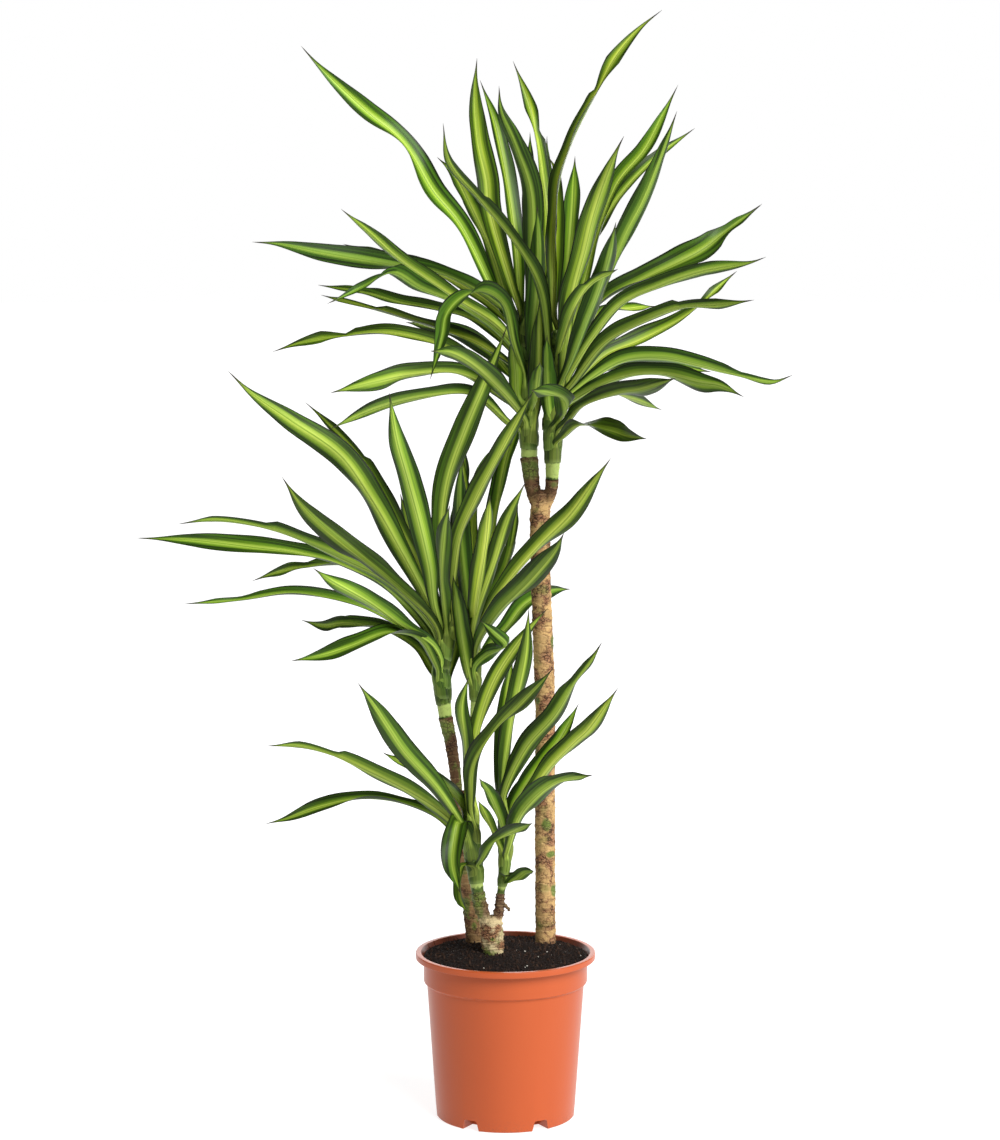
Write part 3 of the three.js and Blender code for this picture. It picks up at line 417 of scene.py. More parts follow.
        [850, 40, 18, [510, 815, 9], [522, 786, 8], [533, 773, 2]],
        [846, 10, 22, [512, 810, 9], [545, 760, 12], [560, 740, 12], [579, 703, 2]],
        [842, -70, 26, [503, 800, 10], [525, 750, 20], [555, 715, 18], [575, 682, 7], [590, 662, 5],
         [602, 642, 2]],
        [836, 60, 20, [502, 790, 9], [503, 745, 9], [508, 690, 10], [513, 655, 2]],
        [830, -60, 22, [504, 780, 9], [512, 720, 11], [525, 655, 14], [529, 608, 2]],
    ],
}
print("leaves:", sum(len(rows) for rows in LEAVES.values()))

# %% [markdown]
# ## Smooth paths
# A stem or a midrib is given by a few places, unevenly spaced. A plain spline through such places can
# overshoot and loop. The centripetal kind, whose speed follows the square root of the gaps, makes no loops
# between two places, so it suits plants, hair and cables alike.

# %% A smooth path, read at even steps
SPAN_STEPS = 24


def smooth_path(points):
    """Places along a centripetal spline through the points, SPAN_STEPS to each gap."""
    ends = [2 * points[0] - points[1], *points, 2 * points[-1] - points[-2]]
    places = [points[0]]
    for p0, p1, p2, p3 in zip(ends, ends[1:], ends[2:], ends[3:]):
        g0, g1, g2 = (math.sqrt((b - a).length) for a, b in ((p0, p1), (p1, p2), (p2, p3)))
        leaving = ((p1 - p0) / g0 - (p2 - p0) / (g0 + g1) + (p2 - p1) / g1) * g1
        arriving = ((p2 - p1) / g1 - (p3 - p1) / (g1 + g2) + (p3 - p2) / g2) * g1
        for step in range(1, SPAN_STEPS + 1):
            t = step / SPAN_STEPS
            places.append(p1 * (2 * t**3 - 3 * t**2 + 1) + leaving * (t**3 - 2 * t**2 + t)
                          + p2 * (3 * t**2 - 2 * t**3) + arriving * (t**3 - t**2))
    return np.array(places)


def lengths_along(places):
    return np.concatenate([[0], np.cumsum(np.linalg.norm(np.diff(places, axis=0), axis=1))])


def evenly(places, count):
    """The same path at `count` evenly spaced places, with their distances from its start."""
    run = lengths_along(places)
    at = np.linspace(0, run[-1], count)
    return np.stack([np.interp(at, run, places[:, i]) for i in range(3)], 1), at


def unit(vectors):
    return vectors / np.linalg.norm(vectors, axis=-1, keepdims=True)


# %% Lines that carry facts for a tree to read
def line_mesh(name, lines):
    """A mesh of open lines. Each is a dict of arrays: its places under "co", in mm, and its facts."""
    counts = [len(line["co"]) for line in lines]
    firsts = np.cumsum([0, *counts[:-1]])
    edges = [np.stack([np.arange(f, f + n - 1), np.arange(f + 1, f + n)], 1)
             for f, n in zip(firsts, counts)]
    mesh = bpy.data.meshes.new(name)
    mesh.vertices.add(sum(counts))
    mesh.vertices.foreach_set("co", np.concatenate([line["co"] for line in lines]).ravel() * MM)
    mesh.edges.add(sum(map(len, edges)))
    mesh.edges.foreach_set("vertices", np.concatenate(edges).ravel())
    for key in lines[0]:
        values = np.concatenate([line[key] for line in lines]).astype(np.float32)
        if key != "co":
            flat = values.ndim == 1
            kind, field = ("FLOAT", "value") if flat else ("FLOAT_VECTOR", "vector")
            mesh.attributes.new(key, kind, "POINT").data.foreach_set(field, values.ravel())
    return mesh


# %% [markdown]
# ## Stems
# A cane is a tube whose bark is marked by a ring wherever a leaf once clasped it. Where the shoots break
# out, the tubes flow into each other. Sweeping a circle along the axis gives the tubes. Fusing them by a
# voxel remesh gives the smooth crotch that separate tubes lack. The rings, dents and grain come last,
# pushed in and out along the surface by a second tree, so that their size can be set for a thick
# old cane and a thin green shoot alike.

# %% Stem axes
FEWEST_PLACES = 6
# The share of its cut area that a stem has lost at its rounded end.
END_LOSS = 0.6


def shoot_axis(name):
    """A shoot's axis as far as its leaves reach: its places and its radii, in mm."""
    _, y, start_y, green, rows = SHOOTS[name]
    points = [picture_point(u, v, start_y + (y - start_y) * min(i / green, 1))
              for i, (u, v, _) in enumerate(rows)]
    return points, [row[2] for row in rows]


def stem_line(points, radii, step):
    """A stem's smooth axis, with its radius at even steps."""
    places = smooth_path(points)
    run = lengths_along(places)
    knots = run[::SPAN_STEPS]
    co, at = evenly(places, max(int(run[-1] / step), FEWEST_PLACES))
    return {"co": co, "radius": np.interp(at, knots, radii) * MM}


def round_end(line, length):
    """Draws a stem's radius in over its last few millimetres, so that its end has no knife edge."""
    left = lengths_along(line["co"])[-1] - lengths_along(line["co"])
    rounding = (1 - left / length).clip(0, 1) ** 2
    line["radius"] = line["radius"] * np.sqrt(1 - rounding * END_LOSS)
    return line


# %% A tree that sweeps a circle along each stem
tube_tree, given, result = new_geometry_tree("stem tubes", corners=24, skin=None)
paths = add(tube_tree, "GeometryNodeMeshToCurve", {"Mesh": given["Geometry"]})
circle = add(tube_tree, "GeometryNodeCurvePrimitiveCircle",
             {"Resolution": given["corners"], "Radius": 1.0})
radius = add(tube_tree, "GeometryNodeInputNamedAttribute", {"Name": "radius"}, data_type="FLOAT")
tubes = add(tube_tree, "GeometryNodeCurveToMesh",
            {"Curve": paths, "Profile Curve": circle, "Scale": radius, "Fill Caps": True})
end_tree(tube_tree, tubes, given["skin"], result)

# %% [markdown]
# ### Rings, dents and grain
# Heights are read off the surface itself. A ring's height wobbles with low noise, so that no two rings are
# parallel, and each ring is a thin groove with a soft swelling under it. The tree also writes down how
# deep in a groove each point is (`ring`) and which section it lies in (`section`), and the material
# colours them by that, so that colour and shape agree.

# %% A tree that pushes rings and dents into bark
# On the way from one ring up to the next: where the groove ends, and where the swelling starts and is full.
GROOVE_END, SWELL_START, SWELL_FULL = 0.13, 0.55, 0.97
# Noise, in waves to the metre. The grain is drawn out upwards, so its height counts for less.
DRIFT_NOISE, GRAIN_NOISE, GRAIN_HEIGHT = 55.0, 900.0, 0.22
RINGS_BELOW, DRIFT_GAIN = 4.0, 4.0

bark_tree, given, result = new_geometry_tree(
    "bark relief", spacing=0.01, wobble=0.35, groove=0.0004, dent=0.0006, dent_size=0.012, grain=0.00015,
    skin=None)
where = add(bark_tree, "GeometryNodeInputPosition")
height = add(bark_tree, "ShaderNodeSeparateXYZ", {0: where}).outputs["Z"]
slow = add(bark_tree, "ShaderNodeTexNoise", {"Vector": where, "Scale": DRIFT_NOISE, "Detail": 2.0}).outputs[0]
shift = add(bark_tree, "ShaderNodeMath", {0: slow, 1: given["wobble"]}, operation="MULTIPLY")
count = add(bark_tree, "ShaderNodeMath", {0: height, 1: given["spacing"]}, operation="DIVIDE")
count = add(bark_tree, "ShaderNodeMath", {0: count, 1: RINGS_BELOW}, operation="ADD")
drift = add(bark_tree, "ShaderNodeMath", {0: shift, 1: DRIFT_GAIN}, operation="MULTIPLY")
count = add(bark_tree, "ShaderNodeMath", {0: count, 1: drift}, operation="ADD")
section = add(bark_tree, "ShaderNodeMath", {0: count}, operation="FLOOR")
within = add(bark_tree, "ShaderNodeMath", {0: count}, operation="FRACT")
groove = add(bark_tree, "ShaderNodeMapRange",
             {"Value": within, "From Max": GROOVE_END, "To Min": 1.0, "To Max": 0.0},
             interpolation_type="SMOOTHSTEP")
swell = add(bark_tree, "ShaderNodeMapRange",
            {"Value": within, "From Min": SWELL_START, "From Max": SWELL_FULL},
            interpolation_type="SMOOTHSTEP")
ring = add(bark_tree, "ShaderNodeMath", {0: swell, 1: groove}, operation="SUBTRACT")
push = add(bark_tree, "ShaderNodeMath", {0: ring, 1: given["groove"]}, operation="MULTIPLY")
dent_scale = add(bark_tree, "ShaderNodeMath", {0: 1.0, 1: given["dent_size"]}, operation="DIVIDE")
dents = add(bark_tree, "ShaderNodeTexNoise", {"Vector": where, "Scale": dent_scale, "Detail": 3.0}).outputs[0]
dents = add(bark_tree, "ShaderNodeMath", {0: dents, 1: 0.5}, operation="SUBTRACT")
push = add(bark_tree, "ShaderNodeMath", {0: dents, 1: given["dent"], 2: push}, operation="MULTIPLY_ADD")
tall = add(bark_tree, "ShaderNodeVectorMath", {0: where, 1: (1, 1, GRAIN_HEIGHT)}, operation="MULTIPLY")
fine = add(bark_tree, "ShaderNodeTexNoise", {"Vector": tall, "Scale": GRAIN_NOISE, "Detail": 2.0}).outputs[0]
fine = add(bark_tree, "ShaderNodeMath", {0: fine, 1: 0.5}, operation="SUBTRACT")
push = add(bark_tree, "ShaderNodeMath", {0: fine, 1: given["grain"], 2: push}, operation="MULTIPLY_ADD")
along = add(bark_tree, "ShaderNodeVectorMath", {0: add(bark_tree, "GeometryNodeInputNormal"), "Scale": push},
            operation="SCALE")
# All facts are read before anything moves, since a ring's height is the height before the push.
bark = given["Geometry"]
for key, value in {"ring": ring, "section": section}.items():
    bark = add(bark_tree, "GeometryNodeStoreNamedAttribute",
               {"Geometry": bark, "Name": key, "Value": value.outputs[0]}, data_type="FLOAT")
bark = add(bark_tree, "GeometryNodeSetPosition", {"Geometry": bark, "Offset": along})
bark = add(bark_tree, "GeometryNodeSetShadeSmooth", {"Geometry": bark, "Shade Smooth": True})
end_tree(bark_tree, bark, given["skin"], result)

# %% [markdown]
# ## Leaves
# A corn plant's leaf has no stalk. Its foot is a sheath wrapped round the shoot, which narrows and turns
# into a long blade: a shallow channel near the foot, almost flat in the middle, slightly waved at its
# margins, and drawn out to a dry thread at the tip. It could be a flat plane with a picture of a leaf on
# it, which looks like paper from the side. Here each leaf is swept along its midrib as a thin closed
# shell. The midrib carries the facts that change along it (width, curl, fold, twist, thickness), and one
# tree turns all the midribs of a shoot into blades.

# %% How a blade changes from foot to tip: [share of its length, value]
BLADE_WIDTHS = [[0, 0.46], [0.1, 0.44], [0.2, 0.54], [0.32, 0.78], [0.46, 0.98], [0.56, 1], [0.68, 0.96],
                [0.8, 0.74], [0.88, 0.43], [0.935, 0.16], [0.965, 0.07], [1, 0.02]]
BLADE_CURLS = [[0, 1.3], [0.12, 1.1], [0.25, 0.6], [0.4, 0.3], [0.6, 0.18], [0.8, 0.2], [1, 0.4]]
BLADE_FOLDS = [[0, 0.25], [0.15, 0.38], [0.45, 0.4], [0.75, 0.34], [1, 0.36]]
# The picture's soft edge hides this much of each margin, so the widths read from it are too small.
SOFT_EDGE = 1.9
BLADE_THICKNESS = 0.55
SHEATH_LENGTH = 34
SHEATH_CURL = 1.95
SHEATH_FLARE = 0.1
LAUNCH = 14
REACH_POWER = 1.25
MOST_TURN = 1.75
LEAF_STEP = 5.5
FEWEST_STEPS = 24
# The least width in mm that a turn is worked out from, and the least gap between two turns.
LEAST_WIDTH, TURN_GAP = 2, 0.01
# How far the corners of a table are rounded, as shares of the leaf's length.
TURN_SPREAD, WIDTH_SPREAD = 0.04, 0.02
WAVE_HEIGHT = 1.1
WAVE_LENGTHS = (70, 120)


def read_rows(rows, at):
    return np.interp(at, *np.transpose(rows))


def smoother(rows, at, spread=0.05):
    """A table read with its corners rounded off."""
    return sum(read_rows(rows, np.clip(at + shift * spread, 0, 1)) for shift in (-1, -0.5, 0, 0.5, 1)) / 5


# %% The midrib: up along the shoot first, then out through the picture
def midrib_points(name, row):
    points, _ = shoot_axis(name)
    _, y, _, _, stem_rows = SHOOTS[name]
    foot, reach, _, *path = row
    upper = max(next(i for i, stem_row in enumerate(stem_rows) if stem_row[1] <= foot), 1)
    (_, low_v, low_r), (_, high_v, high_r) = stem_rows[upper - 1:upper + 1]
    share = (foot - low_v) / (high_v - low_v)
    start = points[upper - 1].lerp(points[upper], share)
    after, before = points[min(upper + 1, len(points) - 1)], points[upper - 1]
    rising = (after - before).normalized()
    runs = np.cumsum([math.dist(a, b) for a, b in
                      zip([(path[0][0], foot), *[p[:2] for p in path]], [p[:2] for p in path])])
    places = [picture_point(u, v, y + reach * (run / runs[-1]) ** REACH_POWER)
              for (u, v, _), run in zip(path, runs)]
    return [start, start + rising * LAUNCH, *places], rising, low_r + (high_r - low_r) * share


# %% Which way the upper side faces
# No leaf is taken to show less of its width than this, and a turn pays this much for leaving the last one.
LEAST_SHOWN = 0.08
TURN_PRICE = 0.5


def natural_upper(along, outwards):
    """Towards the shoot where a leaf stands, up where it lies over, outwards where it hangs."""
    up = np.array([0, 0, 1])
    upper = up * (along @ outwards)[:, None] - outwards * (along @ up)[:, None]
    return unit(upper - along * np.sum(upper * along, 1, keepdims=True))


def wrap(angle):
    return math.atan2(math.sin(angle), math.cos(angle))


def turn_for(point, along, upper, share, turn_before):
    """The turn about the midrib that shows this share of the width: small, and near the turn before."""
    along, upper, to_eye = Vector(along), Vector(upper), EYE - Vector(point)
    to_eye = (to_eye - along * to_eye.dot(along)).normalized()
    facing = math.atan2(upper.cross(to_eye).dot(along), upper.dot(to_eye))
    lean = math.acos(min(max(share, LEAST_SHOWN), 1))
    turns = [wrap(facing + turn) for turn in (lean, -lean, math.pi - lean, lean - math.pi)]
    best = min(turns, key=lambda turn: abs(turn) + TURN_PRICE * abs(turn - turn_before))
    return min(max(best, -MOST_TURN), MOST_TURN)


def turned(vectors, axes, angles):
    """Each vector turned about its own axis, to which it is square."""
    return vectors * np.cos(angles)[:, None] + np.cross(axes, vectors) * np.sin(angles)[:, None]


# %% All the facts of one leaf
# The sheath: where it starts to open in mm and how suddenly, its gap to the stem in mm, how softly the
# midrib is pushed off the stem, and after how many sheath lengths that push has ended.
OPENING_START, OPENING_POWER = 8, 1.5
SHEATH_GAP, PUSH_SOFTNESS, PUSH_END = 0.3, 4, 1.6
LEAST_SHEATH_CURL = 0.6
# From this share of its length on, a leaf's half width is at most this part of the width that it shows.
THREAD_START, THREAD_HALF = 0.7, 0.6
TIP_HALF = 0.08
# The waves have faded at 1 / WAVE_END of the length and are full where the blade's half is this many mm wide.
WAVE_END, FULL_WAVE_HALF, SWAY_PACE = 1.1, 8, 3.4
# A blade thins towards its foot and its tip: how suddenly, and to which share of its thickness.
FOOT_PACE, FOOT_SHARE = 30, 0.3
TIP_PACE, TIP_SHARE = 12, 0.25


def leaf_line(name, row, draw):
    points, rising, stem_radius = midrib_points(name, row)
    width, path = row[2] + 2 * SOFT_EDGE, row[3:]
    dense = smooth_path(points)
    run = lengths_along(dense)
    length = run[-1]
    outwards = unit(np.array(points[-1] - points[0]) * (1, 1, 0))
    slopes = unit(np.gradient(dense, axis=0))
    uppers = natural_upper(slopes, outwards)
    sheath = SHEATH_LENGTH / length
    turns, shown = [[0, 0], [sheath * 0.5, 0]], []
    for i, (_, _, seen) in enumerate(path):
        knot = (i + 2) * SPAN_STEPS
        share = run[knot] / length
        wide = max(width * read_rows(BLADE_WIDTHS, share), LEAST_WIDTH)
        seen = seen * MM_PER_PIXEL + 2 * SOFT_EDGE
        shown.append([share, seen])
        turn = turn_for(dense[knot], slopes[knot], uppers[knot], seen / wide, turns[-1][1])
        turns.append([max(share, turns[-1][0] + TURN_GAP), turn])

    co, at = evenly(dense, max(int(length / LEAF_STEP), FEWEST_STEPS))
    share = at / length
    along = unit(np.gradient(co, axis=0))
    upper = turned(natural_upper(along, outwards), along, smoother(turns, share, TURN_SPREAD))
    side = np.cross(along, upper)

    # Round the shoot the leaf is a sheath: the midrib keeps the shoot's radius away from its axis.
    clasp = np.clip(1 - (at - OPENING_START) / (SHEATH_LENGTH - OPENING_START), 0, 1) ** OPENING_POWER
    clasp = clasp * clasp * (3 - 2 * clasp)
    radius = stem_radius + SHEATH_GAP + SHEATH_FLARE * at
    axis = np.array(points[0]) + np.outer(at, np.array(rising))
    away = (co - axis) @ outwards
    short = radius - away
    push = (short + np.sqrt(short**2 + PUSH_SOFTNESS)) / 2
    co = co + np.outer(push * np.clip(PUSH_END - at / SHEATH_LENGTH, 0, 1), outwards)

    curl = smoother(BLADE_CURLS, share)
    half = smoother(BLADE_WIDTHS, share, WIDTH_SPREAD) * width / 2
    # A leaf that looks narrow near its tip is narrow, because there it has dried to a thread.
    late = [row for row in shown if row[0] > THREAD_START]
    thread = read_rows([[THREAD_START, width], *late], share)
    half = np.minimum(half, np.where(share > THREAD_START, thread * THREAD_HALF, width))
    half[-1] = TIP_HALF
    sheath_curl = np.minimum(SHEATH_CURL, SHEATH_CURL * LEAST_SHEATH_CURL + clasp)
    curl = curl + (sheath_curl - curl) * clasp
    half = half + (radius * sheath_curl - half) * clasp
    fold = smoother(BLADE_FOLDS, share) * (1 - clasp)
    wave_length, phase, other = draw.uniform(*WAVE_LENGTHS), *draw.uniform(0, 2 * math.pi, 2)
    swing = WAVE_HEIGHT * np.sin(np.pi * np.clip(share * WAVE_END, 0, 1))
    swing = swing * np.clip(half / FULL_WAVE_HALF, 0, 1)
    thick = BLADE_THICKNESS * np.clip(share * FOOT_PACE, FOOT_SHARE, 1)
    thick = thick * np.clip((1 - share) * TIP_PACE, TIP_SHARE, 1)
    return {
        "co": co, "rib": co * MM, "side": side, "upper": upper, "along": at, "share": share,
        "half": half * MM, "bend": half / curl * MM, "curl": curl, "fold": fold, "thick": thick * MM,
        "lift": swing * np.sin(at / wave_length * 2 * math.pi + phase) * MM,
        "sway": swing * np.sin(at / wave_length * SWAY_PACE + other) * MM,
        "clasp": clasp, "tone": np.full(len(co), draw.uniform(0, 1)),
    }


# %% A tree that gives each midrib its blade
# Half the corners of the swept ring run over the top from one margin to the other and half run back
# underneath, so the two faces meet in a sharp margin, as a leaf's do.
VECTORS = ("rib", "side", "upper")
FACTS = ("along", "share", "half", "bend", "curl", "fold", "thick", "lift", "sway", "tone", "clasp")
# The ring is swept tiny, because every point of it is then given its place.
RING_SIZE = 0.001
blade_tree, given, result = new_geometry_tree("leaf blades", corners=28, skin=None)
read = {key: add(blade_tree, "GeometryNodeInputNamedAttribute", {"Name": key},
                 data_type="FLOAT_VECTOR" if key in VECTORS else "FLOAT") for key in VECTORS + FACTS}
circle = add(blade_tree, "GeometryNodeCurvePrimitiveCircle", {"Resolution": given["corners"]})
corner = add(blade_tree, "ShaderNodeMath",
             {0: add(blade_tree, "GeometryNodeInputIndex"), 1: given["corners"]}, operation="DIVIDE")
circle = add(blade_tree, "GeometryNodeStoreNamedAttribute",
             {"Geometry": circle, "Name": "corner", "Value": corner}, data_type="FLOAT")
ribs = add(blade_tree, "GeometryNodeMeshToCurve", {"Mesh": given["Geometry"]})
blades = add(blade_tree, "GeometryNodeCurveToMesh",
             {"Curve": ribs, "Profile Curve": circle, "Scale": RING_SIZE, "Fill Caps": True})

# The sums behind the shape. A row has its name, its operation and its amounts: facts, sums above or numbers.
sums = dict(read)
sums["corner"] = add(blade_tree, "GeometryNodeInputNamedAttribute", {"Name": "corner"}, data_type="FLOAT")
for key, operation, *amounts in (
        # Where a point lies across the blade: -1 and 1 at the margins, and under it in the second half.
        ("back", "SUBTRACT", 1.0, "corner"),
        ("nearer", "MINIMUM", "corner", "back"),
        ("across", "MULTIPLY_ADD", "nearer", 4.0, -1.0),
        ("under", "GREATER_THAN", "corner", 0.501),
        ("size", "ABSOLUTE", "across"),
        ("sign", "SIGN", "across"),
        # Each half of the section is an arc that leaves the midrib at the angle of the fold.
        ("angle", "MULTIPLY_ADD", "size", "curl", "fold"),
        ("sine", "SINE", "angle"),
        ("cosine", "COSINE", "angle"),
        ("first sine", "SINE", "fold"),
        ("first cosine", "COSINE", "fold"),
        ("out", "SUBTRACT", "sine", "first sine"),
        ("rise", "SUBTRACT", "first cosine", "cosine"),
        ("out", "MULTIPLY", "out", "bend"),
        ("rise", "MULTIPLY", "rise", "bend"),
        # The underside lies a thickness below, and less and less of it towards the margin.
        ("fourth", "POWER", "size", 4.0),
        ("body", "SUBTRACT", 1.0, "fourth"),
        ("body", "MULTIPLY", "body", "thick"),
        ("body", "MULTIPLY", "body", "under"),
        ("out", "MULTIPLY_ADD", "body", "sine", "out"),
        ("out", "MULTIPLY", "out", "sign"),
        ("drop", "MULTIPLY", "body", "cosine"),
        ("rise", "SUBTRACT", "rise", "drop"),
        # One wave lifts both margins together, and the other lifts one and drops the other.
        ("square", "MULTIPLY", "across", "across"),
        ("cube", "MULTIPLY", "square", "across"),
        ("rise", "MULTIPLY_ADD", "square", "lift", "rise"),
        ("rise", "MULTIPLY_ADD", "cube", "sway", "rise"),
        # For the material: how far from the midrib in mm, and which edges are sharp.
        ("metres across", "MULTIPLY", "across", "half"),
        ("mm across", "MULTIPLY", "metres across", 1 / MM),
        ("sharp", "GREATER_THAN", "size", 0.99)):
    sums[key] = add(blade_tree, "ShaderNodeMath",
                    {i: sums.get(amount, amount) for i, amount in enumerate(amounts)}, operation=operation)
out = add(blade_tree, "ShaderNodeVectorMath", {0: read["side"], "Scale": sums["out"]}, operation="SCALE")
rise = add(blade_tree, "ShaderNodeVectorMath", {0: read["upper"], "Scale": sums["rise"]}, operation="SCALE")
move = add(blade_tree, "ShaderNodeVectorMath", {0: out, 1: rise}, operation="ADD")
place = add(blade_tree, "ShaderNodeVectorMath", {0: read["rib"], 1: move}, operation="ADD")
blades = add(blade_tree, "GeometryNodeSetPosition", {"Geometry": blades, "Position": place})

# What the material reads: the place on the blade in mm, and the place as shares with the face.
on_blade = add(blade_tree, "ShaderNodeCombineXYZ",
               {0: sums["mm across"], 1: read["along"], 2: read["tone"]})
shares = add(blade_tree, "ShaderNodeCombineXYZ", {0: sums["across"], 1: read["share"], 2: sums["under"]})
for key, value in {"on_blade": on_blade, "shares": shares}.items():
    blades = add(blade_tree, "GeometryNodeStoreNamedAttribute",
                 {"Geometry": blades, "Name": key, "Value": value.outputs[0]}, data_type="FLOAT_VECTOR")
blades = add(blade_tree, "GeometryNodeSetShadeSmooth", {"Geometry": blades, "Shade Smooth": True})
blades = add(blade_tree, "GeometryNodeSetShadeSmooth",
             {"Geometry": blades, "Selection": sums["sharp"], "Shade Smooth": False}, domain="EDGE")
end_tree(blade_tree, blades, given["skin"], result)

# %% [markdown]
# ## Living leaf
# The blade is living tissue under a thin wax: it reflects like satin, with a soft sheen and no mirror.
# Its middle has little chlorophyll and shows lime yellow, its two margins are deep green, and where they
# meet, fine green lines run into the lime, because the colour follows the veins. The veins run the
# length of the leaf about a millimetre apart. The underside is paler, greyer and duller. All of it
# is drawn from the place on the blade in millimetres, which the tree has written down, so a wide leaf
# has more veins than a narrow one, and nothing slides.

# %% Leaf material: waxy living leaf, lime-striped
LIME, LIME_DEEP, LIME_PALE, GREEN = "#adca2c", "#628618", "#cfe070", "#5a801a"
MARGIN, MARGIN_DEEP, MARGIN_EDGE, MARGIN_LIGHT = "#34520f", "#172706", "#0c1108", "#466c17"
UNDER_MIDDLE, UNDER_MARGIN, TIP = "#8fa04f", "#243612", "#2b261b"
# The sheath's two greens are partly its own colour and partly painted shade of the crowded leaf bases.
SHEATH, SHEATH_DEEP, SHEATH_FOOT = "#5c7628", "#273a12", "#b9d27e"
# How much of the underside is its own colour, since the stripe shines through.
UNDER_SHARE = 0.15
# Sizes on the blade, in mm. The bands are streaks a few veins wide.
VEIN_GAP, STREAK_LENGTH = 1.1, 160
BANDS_PER_MM, BAND_LENGTH = 0.28, 210
# A leaf's own tone moves it this far through each noise, so that no two leaves have one pattern.
VEIN_STRIDE, BAND_STRIDE = 91.7, 37.3
# What is left over of the tone times these numbers sets a leaf's lightness and its hue.
LIGHT_STRIDE, HUE_STRIDE = 57.0, 23.0
VEIN_DEPTH = 0.5 * MM

leaf_skin, tree = new_material("waxy living leaf, lime-striped")
facts, shares = (add(tree, "ShaderNodeAttribute", attribute_name=fact).outputs["Vector"]
                 for fact in ("on_blade", "shares"))
clasp = add(tree, "ShaderNodeAttribute", attribute_name="clasp").outputs["Fac"]
shares = add(tree, "ShaderNodeSeparateXYZ", {0: shares}).outputs
on_blade = add(tree, "ShaderNodeSeparateXYZ", {0: facts}).outputs
tone = on_blade["Z"]
apart = add(tree, "ShaderNodeVectorMath", {0: facts, 1: (1 / VEIN_GAP, 1 / STREAK_LENGTH, VEIN_STRIDE)},
            operation="MULTIPLY")
veins = add(tree, "ShaderNodeTexNoise", {"Vector": apart, "Scale": 1.0, "Detail": 3.0}).outputs[0]
broad = add(tree, "ShaderNodeVectorMath", {0: facts, 1: (BANDS_PER_MM, 1 / BAND_LENGTH, BAND_STRIDE)},
            operation="MULTIPLY")
bands = add(tree, "ShaderNodeTexNoise", {"Vector": broad, "Scale": 1.0, "Detail": 2.0}).outputs[0]
side_way, off_rib = (add(tree, "ShaderNodeMath", {0: way}, operation="ABSOLUTE")
                     for way in (shares["X"], on_blade["X"]))
is_under = add(tree, "ShaderNodeMath", {0: shares["Z"], 1: 0.5}, operation="GREATER_THAN")
own, other = (add(tree, "ShaderNodeMath", {0: tone, 1: stride}, operation="MULTIPLY")
              for stride in (LIGHT_STRIDE, HUE_STRIDE))
own, other = (add(tree, "ShaderNodeMath", {0: many}, operation="FRACT") for many in (own, other))
print("veins across a centimetre:", round(10 / VEIN_GAP))

# %% What each fact does to the leaf
# A row says what it is for, the fact, two values of that fact, and what comes out at each of them.
part = {}
for key, fact, first, last, at_first, at_last in (
        # How far the lime stripe reaches towards the margin differs from leaf to leaf.
        ("reach", tone, 0, 1, -0.2, 0.17),
        # Fine lines run along the veins, and broader streaks a few millimetres wide, through both colours.
        ("lime lines", veins, 0.4, 0.56, 0, 1),
        ("lime streaks", bands, 0.5, 0.66, 0, 0.6),
        ("margin lines", veins, 0.35, 0.7, 0, 1),
        ("margin streaks", bands, 0.5, 0.36, 0, 0.8),
        # The leaf is palest beside the midrib and near its foot, and darkest at the very margin.
        ("beside the rib", side_way, 0.05, 0.4, 0.6, 0),
        ("young foot", shares["Y"], 0.1, 0.35, 0.3, 0),
        ("very margin", side_way, 0.86, 0.97, 0, 1),
        # The midrib is a narrow sunken line, painted darker than the lime beside it as painted shade in its
        # crease.
        ("midrib", off_rib, 0.3, 1, 0.8, 0),
        # Round the shoot the stripe fades into a darker green sheath, partly its own colour and partly
        # painted shade where the leaf bases crowd round the shoot, and only its foot is pale.
        ("sheath", clasp, 0.03, 0.5, 0, 0.75),
        ("pale foot", on_blade["Y"], 1, 5, 0.2, 0),
        # The tips are dry.
        ("dry tip", shares["Y"], 0.93, 0.975, 0, 1),
        # Every leaf is a little lighter or darker than its neighbour, and every underside is duller.
        ("lightness", own, 0, 1, 0.74, 1.16),
        ("hue", other, 0, 1, 0.484, 0.508),
        ("roughness", is_under, 0, 1, 0.27, 0.42)):
    part[key] = add(tree, "ShaderNodeMapRange", {"Value": fact, "From Min": first, "From Max": last,
                                                 "To Min": at_first, "To Max": at_last})
print("facts at work on the leaf:", len(part))

# The border between stripe and margin wanders with the veins and the bands.
wander = side_way
for noise, amount in ((veins, 0.42), (bands, 0.34)):
    wander = add(tree, "ShaderNodeMath", {0: noise, 1: amount, 2: wander}, operation="MULTIPLY_ADD")
wander = add(tree, "ShaderNodeMath", {0: wander, 1: part["reach"]}, operation="SUBTRACT")
to_margin = add(tree, "ShaderNodeMapRange", {"Value": wander, "From Min": 0.71, "From Max": 1.0},
                interpolation_type="SMOOTHSTEP")
to_green = add(tree, "ShaderNodeMapRange", {"Value": wander, "From Min": 0.42, "From Max": 0.8,
                                            "To Max": 0.85})

